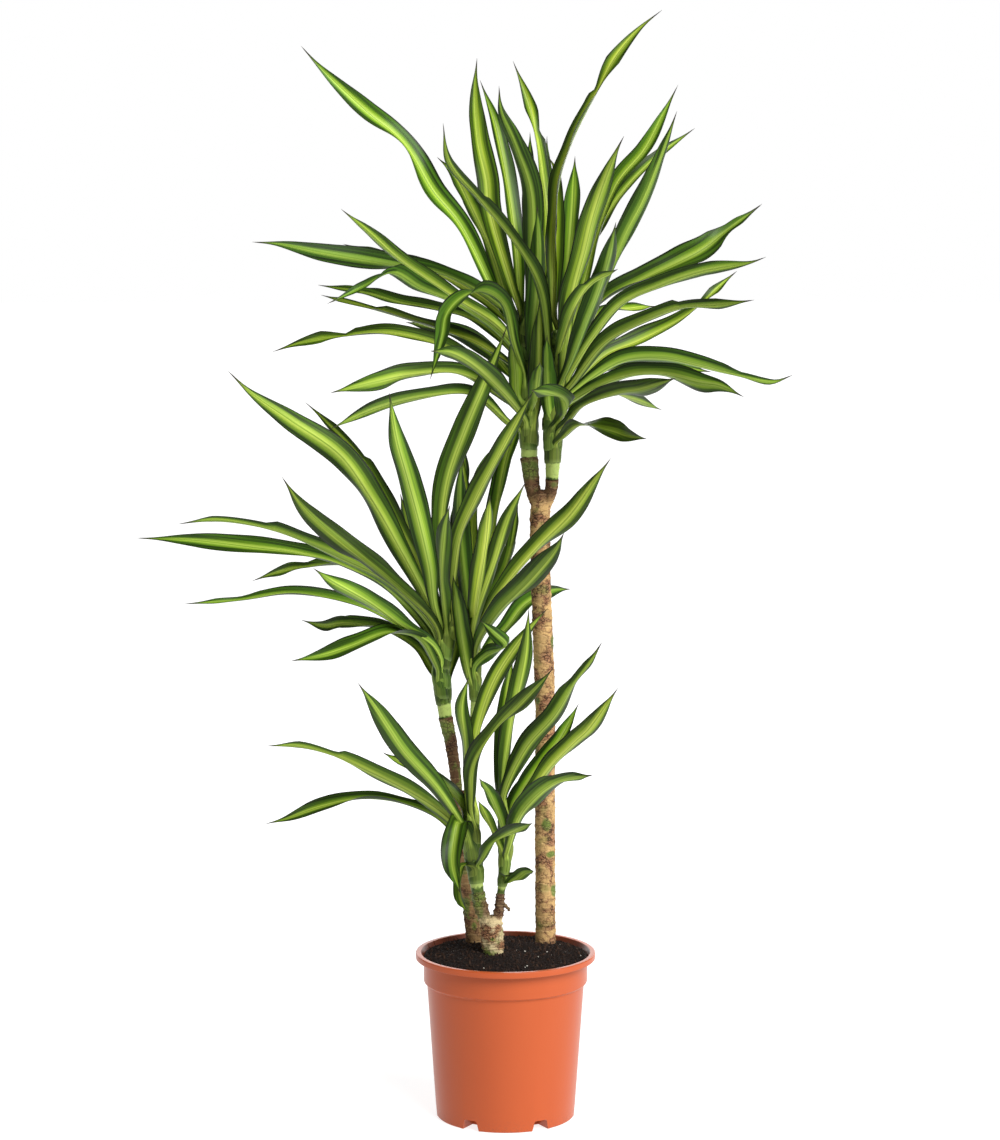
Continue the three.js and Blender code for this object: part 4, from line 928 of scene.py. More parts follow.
# %% The leaf's colours, laid over each other
# A row says what is being coloured, how far, and from what to what: a colour, or a row above.
paints = {}
for key, factor, *ends in (
        ("lime", part["lime lines"], LIME_DEEP, LIME),
        ("lime", part["beside the rib"], "lime", LIME_PALE),
        ("lime", to_green, "lime", GREEN),
        ("lime", part["lime streaks"], "lime", GREEN),
        ("lime", part["young foot"], "lime", LIME_PALE),
        ("margin", part["margin lines"], MARGIN_DEEP, MARGIN),
        ("margin", part["margin streaks"], "margin", MARGIN_LIGHT),
        ("margin", part["very margin"], "margin", MARGIN_EDGE),
        ("upper", to_margin, "lime", "margin"),
        ("upper", part["midrib"], "upper", LIME_DEEP),
        ("under", to_margin, UNDER_MIDDLE, UNDER_MARGIN),
        ("under", UNDER_SHARE, "upper", "under"),
        ("leaf", is_under, "upper", "under"),
        ("sheath", part["margin lines"], SHEATH_DEEP, SHEATH),
        ("leaf", part["sheath"], "leaf", "sheath"),
        ("leaf", part["pale foot"], "leaf", SHEATH_FOOT),
        ("leaf", part["dry tip"], "leaf", TIP)):
    low, high = (paints[end] if end in paints else linear(end) for end in ends)
    paints[key] = add(tree, "ShaderNodeMix", {"Factor": factor, 6: low, 7: high}, data_type="RGBA")
face = add(tree, "ShaderNodeHueSaturation",
           {"Color": paints["leaf"], "Value": part["lightness"], "Hue": part["hue"]})
gloss = add(tree, "ShaderNodeMath", {0: veins, 1: 0.16, 2: part["roughness"]}, operation="MULTIPLY_ADD")
relief = add(tree, "ShaderNodeBump", {"Strength": 0.5, "Distance": VEIN_DEPTH, "Height": veins})
cover(tree, Base_Color=face, Roughness=gloss, Normal=relief, IOR=1.4, Specular_IOR_Level=0.22)

# %% [markdown]
# ## Bark and green shoot
# The cane's bark is thin cork, dry and matt: tan with pinkish flakes, a lighter line on each ring and a
# dark one in its groove, a net of fine cracks, and a green patch where the cork has rubbed off
# and the living stem shows. On the short woody arms the same cork is newer and browner. Higher up the
# shoot is still green, mottled, with a pale band where the last leaf has just fallen.

# %% Bark material: dry cork of a cut cane
TAN, CREAM, PINK_TAN, RIDGE, GROOVE = "#bd9a66", "#cdbb90", "#946a4c", "#d8bd88", "#3d291b"
CRACK, MOSS, MOSS_DEEP, ARM_BROWN = "#35241a", "#7f8a3e", "#4c612a", "#5f432f"
FLAKE_SIZE, FIBRE_WIDTH, FIBRE_LENGTH, CRACK_GAP = 0.016, 0.0011, 0.012, 0.0058
# Noise, in waves to the metre: green patches, the breaks in a scar, and what bends the cracks, and how far.
PATCH_NOISE, BREAK_NOISE, BEND_NOISE, BEND = 48.0, 75.0, 170.0, 0.007
# The cells between the cracks are wider than they are tall by this much.
CELL_WIDENING = 1.7
BARK_DEPTH = 0.6 * MM


def bark_material(name, tan, brown, greenness):
    material, tree = new_material(name)
    here = add(tree, "ShaderNodeTexCoord").outputs["Object"]
    ring, section, green, arm = (add(tree, "ShaderNodeAttribute", attribute_name=fact).outputs["Fac"]
                                 for fact in ("ring", "section", "green", "arm"))
    flakes = add(tree, "ShaderNodeTexNoise", {"Vector": here, "Scale": 1 / FLAKE_SIZE, "Detail": 4.0,
                                              "Distortion": 0.6}).outputs[0]
    flake = add(tree, "ShaderNodeMapRange", {"Value": flakes, "From Min": 0.42, "From Max": 0.6},
                interpolation_type="SMOOTHSTEP")
    stretched = add(tree, "ShaderNodeVectorMath", {0: here, 1: (1, 1, FIBRE_WIDTH / FIBRE_LENGTH)},
                    operation="MULTIPLY")
    fibres = add(tree, "ShaderNodeTexNoise", {"Vector": stretched, "Scale": 1 / FIBRE_WIDTH,
                                              "Detail": 3.0}).outputs[0]
    patches = add(tree, "ShaderNodeTexNoise",
                  {"Vector": here, "Scale": PATCH_NOISE, "Detail": 3.0}).outputs[0]
    living = add(tree, "ShaderNodeMapRange", {"Value": patches, "From Min": 0.68 - greenness,
                                              "From Max": 0.74 - greenness, "To Max": 0.75},
                 interpolation_type="SMOOTHSTEP")
    # The marked places have ragged edges, because the same noise lets them in and shuts them out.
    ragged = add(tree, "ShaderNodeMath", {0: patches, 1: 2.0, 2: green}, operation="MULTIPLY_ADD")
    ragged = add(tree, "ShaderNodeMapRange", {"Value": ragged, "From Min": 1.15, "From Max": 1.6})
    living = add(tree, "ShaderNodeMath", {0: living, 1: ragged}, operation="MAXIMUM")
    light = add(tree, "ShaderNodeMapRange", {"Value": ring, "From Min": 0.35, "To Max": 0.16})
    dark = add(tree, "ShaderNodeMapRange", {"Value": ring, "From Min": -0.15, "From Max": -0.9,
                                            "To Max": 0.85})
    # A scar is dark for a part of its way round and fades out between.
    broken = add(tree, "ShaderNodeTexNoise",
                 {"Vector": here, "Scale": BREAK_NOISE, "Detail": 2.0}).outputs[0]
    broken = add(tree, "ShaderNodeMapRange", {"Value": broken, "From Min": 0.42, "From Max": 0.58})
    dark = add(tree, "ShaderNodeMath", {0: dark, 1: broken}, operation="MULTIPLY")
    # Dry cork tears into a net of flat cells. The net's lines are bent by noise and come and go.
    bent = add(tree, "ShaderNodeTexNoise",
               {"Vector": here, "Scale": BEND_NOISE, "Detail": 3.0}).outputs["Color"]
    bent = add(tree, "ShaderNodeVectorMath", {0: bent, 1: (BEND, BEND, BEND), 2: here},
               operation="MULTIPLY_ADD")
    bent = add(tree, "ShaderNodeVectorMath", {0: bent, 1: (1, 1, CELL_WIDENING)}, operation="MULTIPLY")
    crack = add(tree, "ShaderNodeTexVoronoi", {"Vector": bent, "Scale": 1 / CRACK_GAP},
                feature="DISTANCE_TO_EDGE")
    crack = add(tree, "ShaderNodeMapRange", {"Value": crack, "From Min": 0.02, "From Max": 0.13,
                                             "To Min": 1.0, "To Max": 0.0})
    rare = add(tree, "ShaderNodeMapRange", {"Value": flakes, "From Min": 0.4, "From Max": 0.58,
                                            "To Min": 0.12, "To Max": 0.95})
    crack = add(tree, "ShaderNodeMath", {0: crack, 1: rare}, operation="MULTIPLY")
    # The colours are laid over each other in this order, each from one colour or row above to another.
    paints = {}
    for key, factor, *ends in (
            ("bark", flake, tan, PINK_TAN),
            ("bark", brown, "bark", ARM_BROWN),
            ("bark", arm, "bark", ARM_BROWN),
            ("moss", flakes, MOSS_DEEP, MOSS),
            ("bark", living, "bark", "moss"),
            ("bark", light, "bark", RIDGE),
            ("bark", dark, "bark", GROOVE),
            ("bark", crack, "bark", CRACK)):
        low, high = (paints[end] if end in paints else linear(end) for end in ends)
        paints[key] = add(tree, "ShaderNodeMix", {"Factor": factor, 6: low, 7: high}, data_type="RGBA")
    own = add(tree, "ShaderNodeTexWhiteNoise", {"W": section}, noise_dimensions="1D").outputs["Value"]
    value = add(tree, "ShaderNodeMath", {0: own, 1: 0.3, 2: 0.6}, operation="MULTIPLY_ADD")
    value = add(tree, "ShaderNodeMath", {0: fibres, 1: 0.4, 2: value}, operation="MULTIPLY_ADD")
    colour = add(tree, "ShaderNodeHueSaturation", {"Color": paints["bark"], "Value": value})
    rough = add(tree, "ShaderNodeMapRange", {"Value": living, "To Min": 0.85, "To Max": 0.55})
    deep = add(tree, "ShaderNodeMath", {0: crack, 1: -0.8, 2: fibres}, operation="MULTIPLY_ADD")
    relief = add(tree, "ShaderNodeBump", {"Strength": 0.7, "Distance": BARK_DEPTH, "Height": deep})
    cover(tree, Base_Color=colour, Roughness=rough, Normal=relief, IOR=1.4, Specular_IOR_Level=0.25)
    return material


cane_skin = bark_material("dry cork of a cut cane", TAN, 0.0, 0.0)
middle_skin = bark_material("weathered cork over green stem", TAN, 0.55, 0.14)
stump_skin = bark_material("gnarled cork of a stump", CREAM, 0.0, 0.06)
BARK_SKINS = {"tall_cane": cane_skin, "middle_cane": middle_skin, "short_cane": stump_skin}

# %% Shoot material: green stem that is turning to cork
STEM_GREEN, STEM_DEEP, STEM_PALE = "#587026", "#28390f", "#a5b862"
STEM_CORK, STEM_GROOVE = "#5f4a34", "#4b3a26"
MOTTLE_NOISE, MOTTLE_DEPTH = 260.0, 0.4 * MM

shoot_skin, tree = new_material("green stem turning to cork")
here = add(tree, "ShaderNodeTexCoord").outputs["Object"]
ring, cork, pale = (add(tree, "ShaderNodeAttribute", attribute_name=fact).outputs["Fac"]
                    for fact in ("ring", "cork", "pale"))
mottle = add(tree, "ShaderNodeTexNoise", {"Vector": here, "Scale": MOTTLE_NOISE, "Detail": 4.0}).outputs[0]
mottle = add(tree, "ShaderNodeMapRange", {"Value": mottle, "From Min": 0.35, "From Max": 0.65})
# The mottling frays the edges of the cork and of the pale band.
corked, pale = (add(tree, "ShaderNodeMath", {0: mottle, 1: 0.5, 2: fact}, operation="MULTIPLY_ADD")
                for fact in (cork, pale))
corked = add(tree, "ShaderNodeMapRange", {"Value": corked, "From Min": 0.62, "From Max": 0.8})
pale = add(tree, "ShaderNodeMapRange", {"Value": pale, "From Min": 0.5, "From Max": 1.1, "To Max": 0.95})
dark = add(tree, "ShaderNodeMapRange", {"Value": ring, "From Min": -0.3, "From Max": -0.95, "To Max": 0.4})
colour = linear(STEM_DEEP)
for factor, paint in ((mottle, STEM_GREEN), (corked, STEM_CORK), (pale, STEM_PALE), (dark, STEM_GROOVE)):
    colour = add(tree, "ShaderNodeMix", {"Factor": factor, 6: colour, 7: linear(paint)}, data_type="RGBA")
rough = add(tree, "ShaderNodeMapRange", {"Value": corked, "To Min": 0.42, "To Max": 0.8})
relief = add(tree, "ShaderNodeBump", {"Strength": 0.4, "Distance": MOTTLE_DEPTH, "Height": mottle})
cover(tree, Base_Color=colour, Roughness=rough, Normal=relief, IOR=1.42, Specular_IOR_Level=0.25)

# %% [markdown]
# ## Growing the canes
# Each cane and the woody starts of its two shoots are swept together, fused by the voxel remesh and eased
# by a few rounds of smoothing. Then the bark tree gives rings about 10 mm apart on the tall cane, where
# it grew fast, and closer ones on the stump. Green places that show in the photograph are listed one by one,
# each as a place on the bark with its width and height.

# %% Canes
# The voxel that fuses a cane, how many mm under its top the browner cork of its arms begins, and its relief.
CANE_FACTS = {
    "tall_cane": (0.0010, 18, dict(spacing=0.0098, groove=0.0005, dent=0.0022, dent_size=0.014)),
    "middle_cane": (0.0008, 6, dict(spacing=0.0085, groove=0.0005, dent=0.0024, dent_size=0.012)),
    "short_cane": (0.0006, 6, dict(spacing=0.0072, groove=0.0010, dent=0.0058, dent_size=0.008)),
}
CANE_STEP, ARM_STEP, TWIG_STEP, CUT_ROUNDING = 3, 2, 1, 3
CANE_CORNERS, EASING_ROUNDS = 40, 6
ARM_FADE, ARM_SHARE = 12, 0.85
# Places of bare green stem: [u, v, how far to the side, how far up and down, mm]
GREEN_PLACES = {
    "tall_cane": [[554, 889, 5, 10], [550, 853, 8, 6], [546, 823, 8, 10], [553, 640, 4, 9], [538, 700, 4, 7],
                  [530, 469, 14, 20], [553, 484, 9, 9]],
    "middle_cane": [[466, 905, 8, 16], [474, 925, 5, 8], [470, 860, 8, 14], [446, 729, 12, 20],
                    [472, 726, 9, 14]],
    "short_cane": [[488, 953, 6, 6], [478, 896, 16, 19], [492, 937, 4, 3]],
}

# A marked place reaches this deep, this far behind the cane's axis, and is full over more of its middle the
# greater its breadth.
MARK_DEPTH, MARK_BEHIND, MARK_BREADTH = 24, 2, 1.6

# The stub of a broken side shoot: its two ends in the picture, and its two radii.
TWIG_CANE, TWIG_ENDS, TWIG_RADII = "short_cane", [[499, 900], [509.5, 909.5]], [3, 1.3]


def mark_places(thing, key, places, depth):
    """Writes how near each point is to one of the marked places, 1 in its middle and 0 outside."""
    mesh = thing.data
    co = np.empty(len(mesh.vertices) * 3)
    mesh.vertices.foreach_get("co", co)
    co = co.reshape(-1, 3) / MM
    mark = np.zeros(len(co))
    for u, v, aside, up in places:
        spot = picture_point(u, v, depth)
        off = np.linalg.norm((co - spot) / (aside, MARK_DEPTH, up), axis=1)
        in_front = co[:, 1] < depth + MARK_BEHIND
        mark = np.maximum(mark, np.clip(MARK_BREADTH - MARK_BREADTH * off, 0, 1) * in_front)
    mesh.attributes.new(key, "FLOAT", "POINT").data.foreach_set("value", mark.astype(np.float32))


for name, (y, rows) in CANES.items():
    points = [picture_point(u, v, y) for u, v, _ in rows]
    foot = points[0].copy()
    foot.z = CANE_FOOT
    cane_axis = stem_line([foot, *points], [rows[0][2], *(row[2] for row in rows)], CANE_STEP)
    stems = [round_end(cane_axis, CUT_ROUNDING)]
    for shoot, (cane, _, _, green, _) in SHOOTS.items():
        if cane == name:
            axis, radii = shoot_axis(shoot)
            stems.append(stem_line(axis[:green + 1], radii[:green + 1], ARM_STEP))
    if name == TWIG_CANE:
        twig_ends = [picture_point(u, v, y) for u, v in TWIG_ENDS]
        stems.append(stem_line(twig_ends, TWIG_RADII, TWIG_STEP))
    voxel, arm_start, relief = CANE_FACTS[name]
    thing = place_mesh(name + "_bark", line_mesh(name, stems))
    skin = BARK_SKINS[name]
    run_tree(thing, tube_tree, corners=CANE_CORNERS, skin=skin)
    fuse = thing.modifiers.new("fuse", "REMESH")
    fuse.mode, fuse.voxel_size = "VOXEL", voxel
    ease = thing.modifiers.new("ease", "SMOOTH")
    ease.iterations = EASING_ROUNDS
    settle(run_tree(thing, bark_tree, skin=skin, **relief))
    mark_places(thing, "green", GREEN_PLACES[name], y)
    heights = np.array([vertex.co.z for vertex in thing.data.vertices]) / MM
    into_arms = (heights - (points[-1].z - arm_start)) / ARM_FADE
    arm = np.clip(into_arms, 0, 1).astype(np.float32) * ARM_SHARE
    thing.data.attributes.new("arm", "FLOAT", "POINT").data.foreach_set("value", arm)
    finish_piece(thing, "bark", name)

# %% [markdown]
# ## Growing the shoots and their leaves
# A shoot is swept like a cane, but it keeps the facts of its axis, because it isn't remeshed: where it is
# corky, and where the pale band of a fallen leaf lies. Its top runs on inside the youngest leaves. The
# leaves of one shoot are one piece, made by one run of the blade tree.

# %% Shoots
# The pale band of each shoot, as two heights in the picture.
PALE_BANDS = {"tall_left": (449, 456), "tall_right": (463, 477), "middle_left": (704, 715),
              "middle_right": (702, 715), "short_left": (879, 886), "short_right": (880, 888)}
# In the picture too: how far a band starts outside its heights and fades, and how fast cork follows it.
BAND_MARGIN, BAND_FADE, CORK_FADE = 2, 3, 14
# In mm: how much thinner a shoot is than its row says, since its sheaths lie round it, its steps, and how
# long its rounded end is.
SHEATH_ALLOWANCE, SHOOT_STEP, SHOOT_ROUNDING = 0.6, 1, 6
SHOOT_CORNERS = 36
SHOOT_RELIEF = dict(spacing=0.0105, groove=0.0002, dent=0.0008, grain=0.00008)

for name, (_, _, _, green, rows) in SHOOTS.items():
    axis, radii = shoot_axis(name)
    axis, rows = axis[green:], rows[green:]
    line = stem_line(axis, [radius - SHEATH_ALLOWANCE for radius in radii[green:]], SHOOT_STEP)
    heights = [point.z for point in axis]
    at_v = np.interp(line["co"][:, 2], heights, [row[1] for row in rows])
    high, low = PALE_BANDS[name]
    inside = np.minimum(at_v - high + BAND_MARGIN, low - at_v + BAND_MARGIN)
    line["pale"] = np.clip(inside / BAND_FADE, 0, 1)
    line["cork"] = np.clip((at_v - low) / CORK_FADE, 0, 1)
    thing = place_mesh(name + "_shoot", line_mesh(name, [round_end(line, SHOOT_ROUNDING)]))
    run_tree(thing, tube_tree, corners=SHOOT_CORNERS, skin=shoot_skin)
    settle(run_tree(thing, bark_tree, skin=shoot_skin, **SHOOT_RELIEF))
    finish_piece(thing, "leaf", name + "_head")

# %% Leaves
BLADE_CORNERS = 28

for seed, name in enumerate(SHOOTS, start=1):
    draw = np.random.default_rng(seed)
    lines = [leaf_line(name, row, draw) for row in LEAVES[name]]
    thing = place_mesh(name + "_leaves", line_mesh(name, lines))
    settle(run_tree(thing, blade_tree, corners=BLADE_CORNERS, skin=leaf_skin))
    finish_piece(thing, "leaf", name + "_head")

# %% [markdown]
# ## The pot
# A nursery pot is polypropylene, injection moulded in one shot, with one thin wall throughout: a flanged
# lip that hangs down like a short skirt, a straight shoulder band that stops the pots from jamming when
# they are stacked, a tapered body, and notches round the foot that lead the water out of the drain
# holes. Everything but the foot is round, so the wall's outline is turned about the upright axis, with
# every corner eased, because a mould leaves no knife edges. The foot's channels are then cut with booleans.

# %% Turned shapes
POT_HEIGHT, RIM_RADIUS, LIP_HEIGHT, FLARE_RADIUS, FLARE_HEIGHT = 194.5, 105, 7, 100.8, 9
SHOULDER_RADIUS, SHOULDER_DROP, BODY_TOP_RADIUS, FOOT_RADIUS = 95.7, 34.4, 92, 81
STEP_FALL, WALL = 2, 1.8
NOTCH_COUNT, NOTCH_WIDTH, NOTCH_TOP_WIDTH, NOTCH_HEIGHT, NOTCH_INNER_RADIUS = 6, 22, 16, 12, 58
DRAIN_DEPTH, DRAIN_WIDTH, DRAIN_HEIGHT = 7, 9, 5
ARCH_EASE, COVER_FOOT = 2.5, 0.3
POT_SIDES = 180
SHARP_EDGE = math.radians(32)


def eased(corners, steps=5):
    """An outline of [radius, height, ease]: each corner is replaced by an arc of that size."""
    outline = []
    for i, (radius, height, ease) in enumerate(corners):
        here = Vector((radius, height))
        if not ease:
            outline.append(here)
            continue
        before = Vector(corners[i - 1][:2]) - here
        after = Vector(corners[(i + 1) % len(corners)][:2]) - here
        start = here + before.normalized() * min(ease, before.length * 0.49)
        end = here + after.normalized() * min(ease, after.length * 0.49)
        for step in range(steps + 1):
            t = step / steps
            outline.append(start.lerp(here, t).lerp(here.lerp(end, t), t))
    return outline


def turn_on_axis(name, outline, sides):
    """A closed mesh from an outline that starts and ends on the upright axis."""
    build = bmesh.new()
    rings = []
    for radius, height in outline:
        if radius < 1e-6:
            rings.append([build.verts.new((0, 0, height * MM))] * sides)
            continue
        rings.append([build.verts.new((radius * MM * math.cos(a), radius * MM * math.sin(a), height * MM))
                      for a in (i * math.tau / sides for i in range(sides))])
    for low, high in zip(rings, rings[1:]):
        for i in range(sides):
            j = (i + 1) % sides
            ring = list(dict.fromkeys([low[i], low[j], high[j], high[i]]))
            if len(ring) > 2:
                build.faces.new(ring)
    return place_build(name, build)


def foot_bars(name, near, far, margin, low):
    """The six flat-topped bars that lie on the floor where the foot's channels run."""
    half, half_top, top = NOTCH_WIDTH / 2 + margin, NOTCH_TOP_WIDTH / 2 + margin, NOTCH_HEIGHT + margin
    arch = eased([[-half, low, 0], [half, low, 0],
                  [half_top, top, ARCH_EASE], [-half_top, top, ARCH_EASE]], 3)
    build = bmesh.new()
    for notch in range(NOTCH_COUNT):
        angle = notch * math.tau / NOTCH_COUNT
        out = Vector((math.cos(angle), math.sin(angle), 0))
        aside = Vector((-out.y, out.x, 0))
        ends = [[build.verts.new((out * r + aside * x + Vector((0, 0, z))) * MM) for x, z in arch]
                for r in (near, far)]
        build.faces.new(ends[0])
        build.faces.new(reversed(ends[1]))
        for i in range(len(arch)):
            j = (i + 1) % len(arch)
            build.faces.new((ends[0][j], ends[0][i], ends[1][i], ends[1][j]))
    bmesh.ops.recalc_face_normals(build, faces=build.faces)
    return place_build(name, build)


def drain_holes(name):
    build = bmesh.new()
    for notch in range(NOTCH_COUNT):
        made = bmesh.ops.create_cube(build, size=1)["verts"]
        bmesh.ops.scale(build, vec=Vector((DRAIN_DEPTH, DRAIN_WIDTH, DRAIN_HEIGHT)) * MM, verts=made)
        place = Vector((NOTCH_INNER_RADIUS, 0, DRAIN_HEIGHT / 2 + WALL)) * MM
        bmesh.ops.translate(build, vec=place, verts=made)
        turn = Quaternion((0, 0, 1), notch * math.tau / NOTCH_COUNT).to_matrix()
        bmesh.ops.rotate(build, cent=(0, 0, 0), matrix=turn, verts=made)
    return place_build(name, build)


def cut(thing, tool, operation):
    modifier = thing.modifiers.new(operation, "BOOLEAN")
    modifier.object, modifier.operation, modifier.solver = tool, operation, "EXACT"
    settle(thing)
    bpy.data.objects.remove(tool)


# %% Pot
SHOULDER_HEIGHT = POT_HEIGHT - SHOULDER_DROP
body_foot = FOOT_RADIUS + (BODY_TOP_RADIUS - FOOT_RADIUS) * WALL / (SHOULDER_HEIGHT - STEP_FALL)
outline = eased([
    [0, 0, 0],
    [FOOT_RADIUS, 0, 1.6],
    [BODY_TOP_RADIUS, SHOULDER_HEIGHT - STEP_FALL, 1.2],
    [SHOULDER_RADIUS, SHOULDER_HEIGHT, 1.4],
    [SHOULDER_RADIUS, POT_HEIGHT - FLARE_HEIGHT, 1.5],
    [FLARE_RADIUS - 1, POT_HEIGHT - WALL, 0.3],
    [RIM_RADIUS - WALL, POT_HEIGHT - WALL, 0.8],
    [RIM_RADIUS - WALL, POT_HEIGHT - LIP_HEIGHT, 0.4],
    [RIM_RADIUS, POT_HEIGHT - LIP_HEIGHT, 0.8],
    [RIM_RADIUS, POT_HEIGHT, 1.3],
    [FLARE_RADIUS - WALL, POT_HEIGHT, 0.9],
    [SHOULDER_RADIUS - WALL, POT_HEIGHT - FLARE_HEIGHT, 2],
    [SHOULDER_RADIUS - WALL, SHOULDER_HEIGHT, 1.2],
    [BODY_TOP_RADIUS - WALL, SHOULDER_HEIGHT - STEP_FALL, 1.2],
    [body_foot - WALL, WALL, 1.2],
    [0, WALL, 0],
])
pot = turn_on_axis("pot_shell", outline, POT_SIDES)
cut(pot, foot_bars("covers", NOTCH_INNER_RADIUS - WALL, FOOT_RADIUS - WALL / 2, WALL, COVER_FOOT), "UNION")
cut(pot, foot_bars("channels", NOTCH_INNER_RADIUS, RIM_RADIUS, 0, -WALL), "DIFFERENCE")
cut(pot, drain_holes("drains"), "DIFFERENCE")
for face in pot.data.polygons:
    face.use_smooth, face.material_index = True, 0
pot.data.set_sharp_from_angle(angle=SHARP_EDGE)
report(pot)

# %% [markdown]
# ## Moulded polypropylene
# The plastic is coloured through in a terracotta orange, moulded against polished steel: semi-gloss, with
# broad soft highlights and a very faint orange peel. Soil dust dulls it near the foot, and painted shade
# darkens the whole wall inside.

# %% Pot material: injection-moulded polypropylene
# The last colour here is painted shade for the wall inside.
TERRACOTTA, TERRACOTTA_LIGHT, DUST, PAINTED_INSIDE_SHADE = "#a84a23", "#b2532b", "#7a4a36", "#2c150d"
SPECK_NOISE, PEEL_NOISE, PEEL_DEPTH = 420.0, 260.0, 0.5 * MM
# The plastic's colour varies slowly, in waves to the metre across the pot and up it.
FLOW_WAVES = (14, 14, 3)
# Soil dust reaches this high up the foot, in metres.
DUST_HEIGHT = 0.02

pot_skin, tree = new_material("injection-moulded polypropylene, terracotta")
places = add(tree, "ShaderNodeTexCoord").outputs
here = places["Object"]
flow = add(tree, "ShaderNodeVectorMath", {0: here, 1: FLOW_WAVES}, operation="MULTIPLY")
flow = add(tree, "ShaderNodeTexNoise", {"Vector": flow, "Scale": 1.0, "Detail": 2.0}).outputs[0]
height = add(tree, "ShaderNodeSeparateXYZ", {0: here}).outputs["Z"]
specks = add(tree, "ShaderNodeTexNoise", {"Vector": here, "Scale": SPECK_NOISE, "Detail": 5.0}).outputs[0]
low = add(tree, "ShaderNodeMapRange", {"Value": height, "From Min": 0.0, "From Max": DUST_HEIGHT,
                                       "To Min": 0.55, "To Max": 0.0})
dusty = add(tree, "ShaderNodeMapRange", {"Value": specks, "From Min": 0.5, "From Max": 0.75})
dusty = add(tree, "ShaderNodeMath", {0: dusty, 1: low}, operation="MULTIPLY")
# The wall faces inwards where its normal points back to the upright axis. There it is darkened with painted
# shade.
outward = add(tree, "ShaderNodeVectorMath", {0: here, 1: (1, 1, 0)}, operation="MULTIPLY")
facing = add(tree, "ShaderNodeVectorMath", {0: outward, 1: places["Normal"]}, operation="DOT_PRODUCT")
inside = add(tree, "ShaderNodeMapRange", {"Value": facing, "From Min": -0.03, "From Max": -0.08,
                                          "To Max": 0.74})
colour = linear(TERRACOTTA)
# Over the plastic go dust near the foot and painted shade on the wall inside.
for factor, paint in ((flow, TERRACOTTA_LIGHT), (dusty, DUST), (inside, PAINTED_INSIDE_SHADE)):
    colour = add(tree, "ShaderNodeMix", {"Factor": factor, 6: colour, 7: linear(paint)}, data_type="RGBA")
rough = add(tree, "ShaderNodeMath", {0: flow, 1: 0.1, 2: 0.27}, operation="MULTIPLY_ADD")
rough = add(tree, "ShaderNodeMath", {0: dusty, 1: 0.4, 2: rough}, operation="MULTIPLY_ADD")
peel = add(tree, "ShaderNodeTexNoise", {"Vector": here, "Scale": PEEL_NOISE, "Detail": 1.0}).outputs[0]
peel = add(tree, "ShaderNodeBump", {"Strength": 0.06, "Distance": PEEL_DEPTH, "Height": peel})
cover(tree, Base_Color=colour, Roughness=rough, Normal=peel, IOR=1.49, Specular_IOR_Level=0.24)
pot.data.materials.clear()
pot.data.materials.append(pot_skin)
finish_piece(pot, "pot_plastic", "pot")

# %% [markdown]
# ## The soil
# Potting mix is peat and composted bark: dark brown, crumbly, with a few fibres and a few pale grains of
# perlite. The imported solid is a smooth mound, so it stays as the body of the soil, and a crust is grown on
# it: a fine disc pushed up and down by noise, with crumbs, chips and fibres strewn over it by one tree. A
# crumb has only twenty faces, because there are thousands of them.

# %% Soil materials
MIX_DARK, MIX_BROWN, CHIP_BROWN = "#0e0806", "#22140e", "#442e20"
PERLITE_GREY, PERLITE_WHITE = "#b9b2a4", "#e6e2d8"
LUMP_NOISE, DAMP_NOISE, LUMP_DEPTH = 240.0, 26.0, 0.8 * MM


def soil_material(name, dark, light, rough):
    material, tree = new_material(name)
    here = add(tree, "ShaderNodeTexCoord").outputs["Object"]
    lumps = add(tree, "ShaderNodeTexNoise", {"Vector": here, "Scale": LUMP_NOISE, "Detail": 5.0}).outputs[0]
    lumps = add(tree, "ShaderNodeMapRange", {"Value": lumps, "From Min": 0.35, "From Max": 0.68})
    colour = add(tree, "ShaderNodeMix", {"Factor": lumps, 6: linear(dark), 7: linear(light)},
                 data_type="RGBA")
    damp = add(tree, "ShaderNodeTexNoise", {"Vector": here, "Scale": DAMP_NOISE, "Detail": 2.0}).outputs[0]
    value = add(tree, "ShaderNodeMapRange", {"Value": damp, "From Min": 0.3, "From Max": 0.7,
                                             "To Min": 0.75, "To Max": 1.15})
    colour = add(tree, "ShaderNodeHueSaturation", {"Color": colour, "Value": value})
    shine = add(tree, "ShaderNodeMapRange", {"Value": lumps, "To Min": rough - 0.15, "To Max": rough})
    relief = add(tree, "ShaderNodeBump", {"Strength": 0.8, "Distance": LUMP_DEPTH, "Height": lumps})
    cover(tree, Base_Color=colour, Roughness=shine, Normal=relief, Specular_IOR_Level=0.25)
    return material


soil_skin = soil_material("damp peat and composted bark", MIX_DARK, MIX_BROWN, 0.92)
chip_skin = soil_material("bark chips and root fibres", MIX_BROWN, CHIP_BROWN, 0.85)
perlite_skin = soil_material("expanded perlite", PERLITE_GREY, PERLITE_WHITE, 0.9)
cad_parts["soil"].data.materials.clear()
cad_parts["soil"].data.materials.append(soil_skin)

# %% Soil crust
SOIL_EDGE, SOIL_RISE, SOIL_RADIUS = POT_HEIGHT - 6, 7.5, 95.2
CRUST_RISE, CRUST_SKIRT, SKIRT_INSET = 0.8, 2, 1.2
CRUST_RINGS, CRUST_SIDES = 72, 200
# Only what lies this far above the edge is pushed about, and nothing is strewn this near the wall.
PUSHED_ABOVE, BARE_EDGE = 0.3, 3.5
